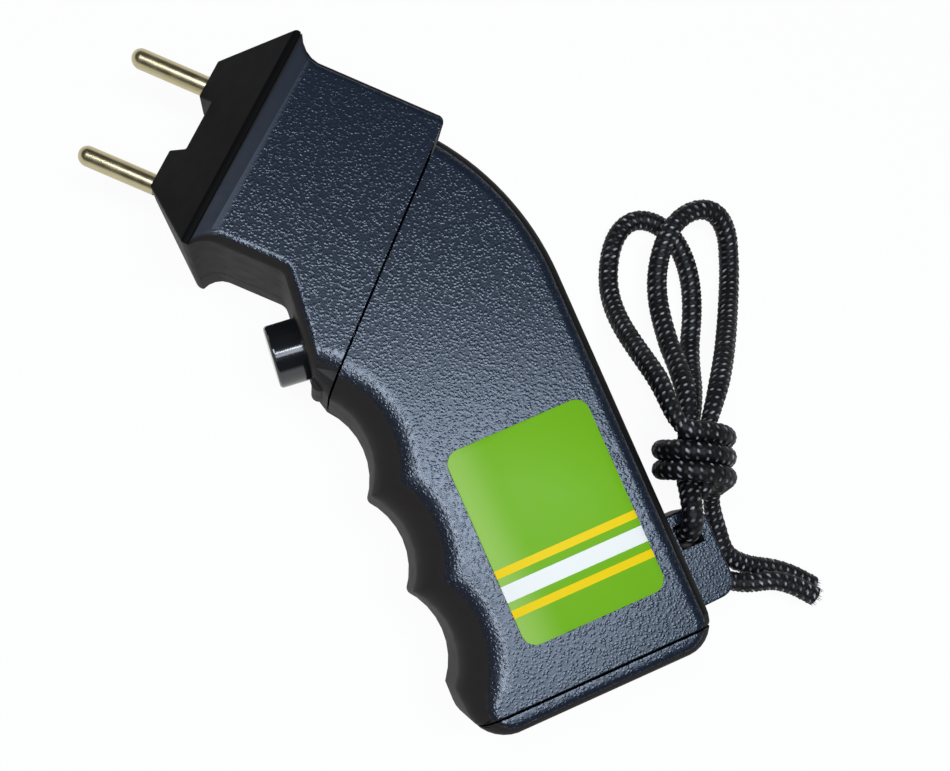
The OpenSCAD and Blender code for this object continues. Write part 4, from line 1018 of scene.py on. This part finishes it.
class PRODDER_OT_casing(bpy.types.Operator):
    """Rounds and finishes the shells of the casing and the base cap"""

    bl_idname = "prodder.casing"
    bl_label = "Casing"

    def execute(self, context):
        props = context.scene.prodder_casing
        finishes = {
            GRAINED: grained_abs(props),
            SHADED_WALL: plain_plastic("Drafted ABS with painted shade", props.wall, roughness=0.62, shine=0.12),
            SHADED_BACK: satin_abs(props),
            SMOOTH: plain_plastic("Smooth moulded ABS", props.shell, roughness=0.55, shine=0.25),
        }
        rim_way, rim_edge = rim_place(props)
        seam = (on_seam, props.seam_bevel, 1)
        parting = (on_height(PARTING_Z), props.parting_bevel, 2)
        ridge = (on_ridge(props.finger_pitch), props.ridge_round, 4)
        cap_seam = (on_cap_seam(), props.seam_bevel, 2)
        ear = (on_ear(props.ear_top), props.ear_bevel, 3)
        parted = ((0, 0, -1), on_height(PARTING_Z))
        for node, body, rounds, gaps in (
            ("head_shell", "casing", (seam, parting), (((-1, 0, 0), on_seam), parted)),
            ("grip_shell", "casing", (ridge, seam, parting, cap_seam, ear), (((1, 0, 0), on_seam), parted)),
            ("back_cover", "casing", (ridge, parting, cap_seam), ()),
            ("base_cap", "cap", (cap_seam,), ()),
        ):
            obj = copy_solid(node, node + "_finished")
            for rule, width, steps in rounds:
                round_edges(obj, rule, width, steps, SHELL_TURN)
            for way, rule in gaps:
                draw_back(obj, Vector(way), rule, props.seam_gap)
            finish_solid(obj)
            dress(obj, *finishes.values())
            for face in obj.data.polygons:
                on_lug = node == "head_shell" and face.center.z < props.lug_top
                # Side walls and the lug take the drafted finish, whose dark warm colour is painted shade
                # with a painted warm reflection
                if on_lug or abs(face.normal.z) < props.wall_tilt:
                    # Walls that face the back take the near-black satin finish as painted shade
                    back_in_shade = face.normal.y < -BACK_LEAN * abs(face.normal.z)
                    face.material_index = SHADED_BACK if back_in_shade else SHADED_WALL
                elif face.center.dot(rim_way) > rim_edge - props.rim_band:
                    face.material_index = SMOOTH
            place_piece(obj, body, "shell_plastic", node)
        return {"FINISHED"}


# Edges of the nose that are rounded turn by more than this, and a shorter one is a facet of a prong's boss
NOSE_TURN = math.radians(18)
NOSE_FACET = 2.5 * MM


class PRODDER_OT_nose(bpy.types.Operator):
    """Rounds and finishes the nose"""

    bl_idname = "prodder.nose"
    bl_label = "Nose"

    def execute(self, context):
        props = context.scene.prodder_casing
        nose = copy_solid("nose_cap", "nose")
        round_edges(nose, lambda a, b: (a - b).length > NOSE_FACET, props.nose_bevel, 3, NOSE_TURN)
        finish_solid(nose)
        dress(nose, satin_abs(props))
        place_piece(nose, "casing", "nose_plastic", "nose_cap")
        return {"FINISHED"}


class PRODDER_OT_label(bpy.types.Operator):
    """Cuts and prints the side label"""

    bl_idname = "prodder.label"
    bl_label = "Side label"

    def execute(self, context):
        props = context.scene.prodder_label
        low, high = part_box("side_label")
        centre = (low + high) / 2
        wall = high.z - low.z - props.edge
        bpy.ops.object.select_all(action="DESELECT")
        bpy.ops.mesh.primitive_plane_add(size=1, location=(0, 0, 0))
        label = context.object
        label.name = label.data.name = "side_label_film"
        bpy.ops.object.mode_set(mode="EDIT")
        bpy.ops.mesh.select_all(action="SELECT")
        bpy.ops.transform.resize(value=(props.long_side, props.short_side, 1))
        bpy.ops.mesh.select_mode(type="VERT")
        bpy.ops.mesh.bevel(offset=props.corner, segments=10, affect="VERTICES", profile=0.5)
        bpy.ops.mesh.select_mode(type="FACE")
        bpy.ops.mesh.select_all(action="SELECT")
        bpy.ops.mesh.extrude_region_move(TRANSFORM_OT_translate={"value": (0, 0, wall)})
        bpy.ops.mesh.inset(thickness=props.edge, depth=props.edge)
        bpy.ops.mesh.select_all(action="SELECT")
        bpy.ops.mesh.normals_make_consistent(inside=False)
        bpy.ops.object.mode_set(mode="OBJECT")
        label.location = (centre.x, centre.y, low.z)
        label.rotation_euler = (0, 0, GRIP_TURN)
        take_alone(label)
        bpy.ops.object.transform_apply(location=True, rotation=True, scale=True)
        bpy.ops.object.shade_smooth_by_angle(angle=math.radians(50))
        dress(label, printed_film(props, centre))
        place_piece(label, "casing", "label_film", "side_label")
        return {"FINISHED"}


class PRODDER_OT_small_pieces(bpy.types.Operator):
    """Finishes the prongs, the button, the screws and the pieces inside"""

    bl_idname = "prodder.small_pieces"
    bl_label = "Prongs, button and inner pieces"

    def execute(self, context):
        casing = context.scene.prodder_casing
        metal = context.scene.prodder_metal
        slots = {part["node"]: part["material_slot"] for part in frame["record"]["subparts"]}
        # Roughness and, where it isn't the usual one, the size of the specks
        plastics = {
            "foam": ("Closed-cell foam", "#1f1f1f", 0.9, 0.8),
            "board": ("Glass-fibre laminate", "#2f6b45", 0.35, 1.2),
            "ferrite": ("Sintered ferrite", "#3a3d40", 0.6, 0.6),
            "component_plastic": ("Moulded epoxy", "#2a2b2d", 0.5),
            "component_sleeve": ("Shrunk PVC sleeve", "#2b3550", 0.3),
            "component_coat": ("Dipped phenolic coat", "#8a5a2b", 0.4),
            "lead_red": ("Red PVC insulation", "#c23b2e", 0.35),
            "lead_black": ("Black PVC insulation", "#2f2f31", 0.35),
            "battery_case": ("Lacquered tinplate", "#b9bcc0", 0.3),
        }
        finishes = {
            "prong_brass": drawn_metal("Nickel-washed drawn brass", metal.prong, 0.3, (1, 0, 0)),
            "plated_steel": drawn_metal("Zinc-plated turned steel", metal.steel, 0.35, (0, 0, 1)),
            "copper": drawn_metal("Enamelled copper wire", metal.copper, 0.35, (0, 1, 0)),
            "button_plastic": plain_plastic("Polished ABS", casing.button, 0.11, shine=0.8),
            "nose_plastic": plain_plastic("Satin inner ABS", casing.nose, 0.45),
        }
        for slot, (name, code, *surface) in plastics.items():
            finishes[slot] = plain_plastic(name, srgb(code), *surface)
        self.make_spring(slots["button_spring"], finishes[slots["button_spring"]])
        for node, obj in frame["nodes"].items():
            if not obj.hide_render:
                dress(obj, finishes[slots[node]])
        return {"FINISHED"}

    @staticmethod
    def make_spring(slot, material):
        """The button's spring, finished from its CAD node; the points of its foot, on the switch, and of its
        top along the button's way are found, but nothing moves them with the button.
        """
        spring = copy_solid("button_spring", "button_spring_finished")
        finish_solid(spring)
        dress(spring, material)
        low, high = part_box("button_spring")
        middle = (low + high) / 2
        reach = [(v.co - middle).dot(BUTTON_WAY) for v in spring.data.vertices]
        foot, top = [middle + run * BUTTON_WAY for run in (min(reach), max(reach))]
        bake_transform(spring)
        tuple(foot)
        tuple(top)
        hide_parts("button_spring")


class PRODDER_OT_stage(bpy.types.Operator):
    """Sets the floor, the lamps and the world"""

    bl_idname = "prodder.stage"
    bl_label = "Stage"

    # Name, place, aim, direction of the first side, sides in metres, watts and colour
    lamps = (
        (
            "Overhead softbox", (-0.132, 0.017, 0.61), (-0.05, 0.04, 0.03),
            PICTURE_RIGHT, (0.22, 0.24), 1.0, "#e6f0ff",
        ),
        (
            "Overhead strip", (-0.083, -0.011, 0.61), (-0.05, 0.03, 0.03),
            PICTURE_RIGHT, (0.36, 0.04), 0.8, "#eaf2ff",
        ),
        (
            "Finger-side strip", (0.042, 0.135, 0.57), (-0.03, 0.06, 0.03),
            GRIP_WAY, (0.45, 0.055), 1.75, "#f1f5ff",
        ),
    )
    room_tint, room_strength = (0.92, 0.96, 1, 1), 0.12
    # The white wall round the stage is whole below the first height, and above the second one it is dim
    wall_heights, wall_strengths = (0.2, 0.4), (1.0, 0.03)

    def execute(self, context):
        props = context.scene.prodder_stage
        bpy.ops.object.select_all(action="DESELECT")
        bpy.ops.mesh.primitive_plane_add(size=props.floor_side, location=(0, 0, 0))
        floor = context.object
        floor.name = "floor"
        dress(floor, pale_floor())
        for name, place, aim, long_way, sides, power, code in self.lamps:
            data = bpy.data.lights.new(name, "AREA")
            data.shape = "RECTANGLE"
            data.size, data.size_y = sides
            data.energy = power
            data.color = srgb(code)
            lamp = bpy.data.objects.new(name, data)
            context.scene.collection.objects.link(lamp)
            back = (Vector(place) - Vector(aim)).normalized()
            across = back.cross(long_way).normalized()
            lamp.matrix_world = Matrix((across.cross(back), across, back)).transposed().to_4x4()
            lamp.location = place
        world = bpy.data.worlds.new("White studio")
        world.use_nodes = True
        tree = world.node_tree
        tree.nodes.clear()
        room = add(tree, "Background", {"Color": self.room_tint, "Strength": self.room_strength})
        way = add(tree, "SeparateXYZ", {0: add(tree, "TexCoord").outputs["Generated"]})
        low, high = self.wall_heights
        whole, dim = self.wall_strengths
        wall = add(
            tree,
            "MapRange",
            {"Value": way.outputs["Z"], "From Min": low, "From Max": high, "To Min": whole, "To Max": dim},
        )
        white = add(tree, "Background", {"Color": (1, 1, 1, 1), "Strength": wall})
        mixed = add(tree, "MixShader", {0: seen_rays(tree), 1: room, 2: white})
        add(tree, "OutputWorld", {"Surface": mixed})
        context.scene.world = world
        context.scene.view_settings.view_transform = "Standard"
        return {"FINISHED"}


OPERATORS = (
    PRODDER_OT_camera,
    PRODDER_OT_lanyard,
    PRODDER_OT_casing,
    PRODDER_OT_nose,
    PRODDER_OT_label,
    PRODDER_OT_small_pieces,
    PRODDER_OT_stage,
)


class PRODDER_PT_panel(bpy.types.Panel):
    """Lists the steps that finish the prodder"""

    bl_idname = "PRODDER_PT_panel"
    bl_label = "Cattle prodder"
    bl_space_type = "VIEW_3D"
    bl_region_type = "UI"
    bl_category = "Prodder"

    def draw(self, context):
        for operator in OPERATORS:
            self.layout.operator(operator.bl_idname)


GROUPS = {
    "prodder_casing": ProdderCasing,
    "prodder_metal": ProdderMetal,
    "prodder_label": ProdderLabel,
    "prodder_lanyard": ProdderLanyard,
    "prodder_stage": ProdderStage,
}


def register():
    for group in GROUPS.values():
        bpy.utils.register_class(group)
    for name, group in GROUPS.items():
        setattr(bpy.types.Scene, name, bpy.props.PointerProperty(type=group))
    for operator in OPERATORS:
        bpy.utils.register_class(operator)
    bpy.utils.register_class(PRODDER_PT_panel)


def unregister():
    bpy.utils.unregister_class(PRODDER_PT_panel)
    for operator in reversed(OPERATORS):
        bpy.utils.unregister_class(operator)
    for name in GROUPS:
        delattr(bpy.types.Scene, name)
    for group in reversed(list(GROUPS.values())):
        bpy.utils.unregister_class(group)


def main():
    register()
    for operator in OPERATORS:
        family, name = operator.bl_idname.split(".")
        getattr(getattr(bpy.ops, family), name)()


if __name__ == "__main__":
    main()
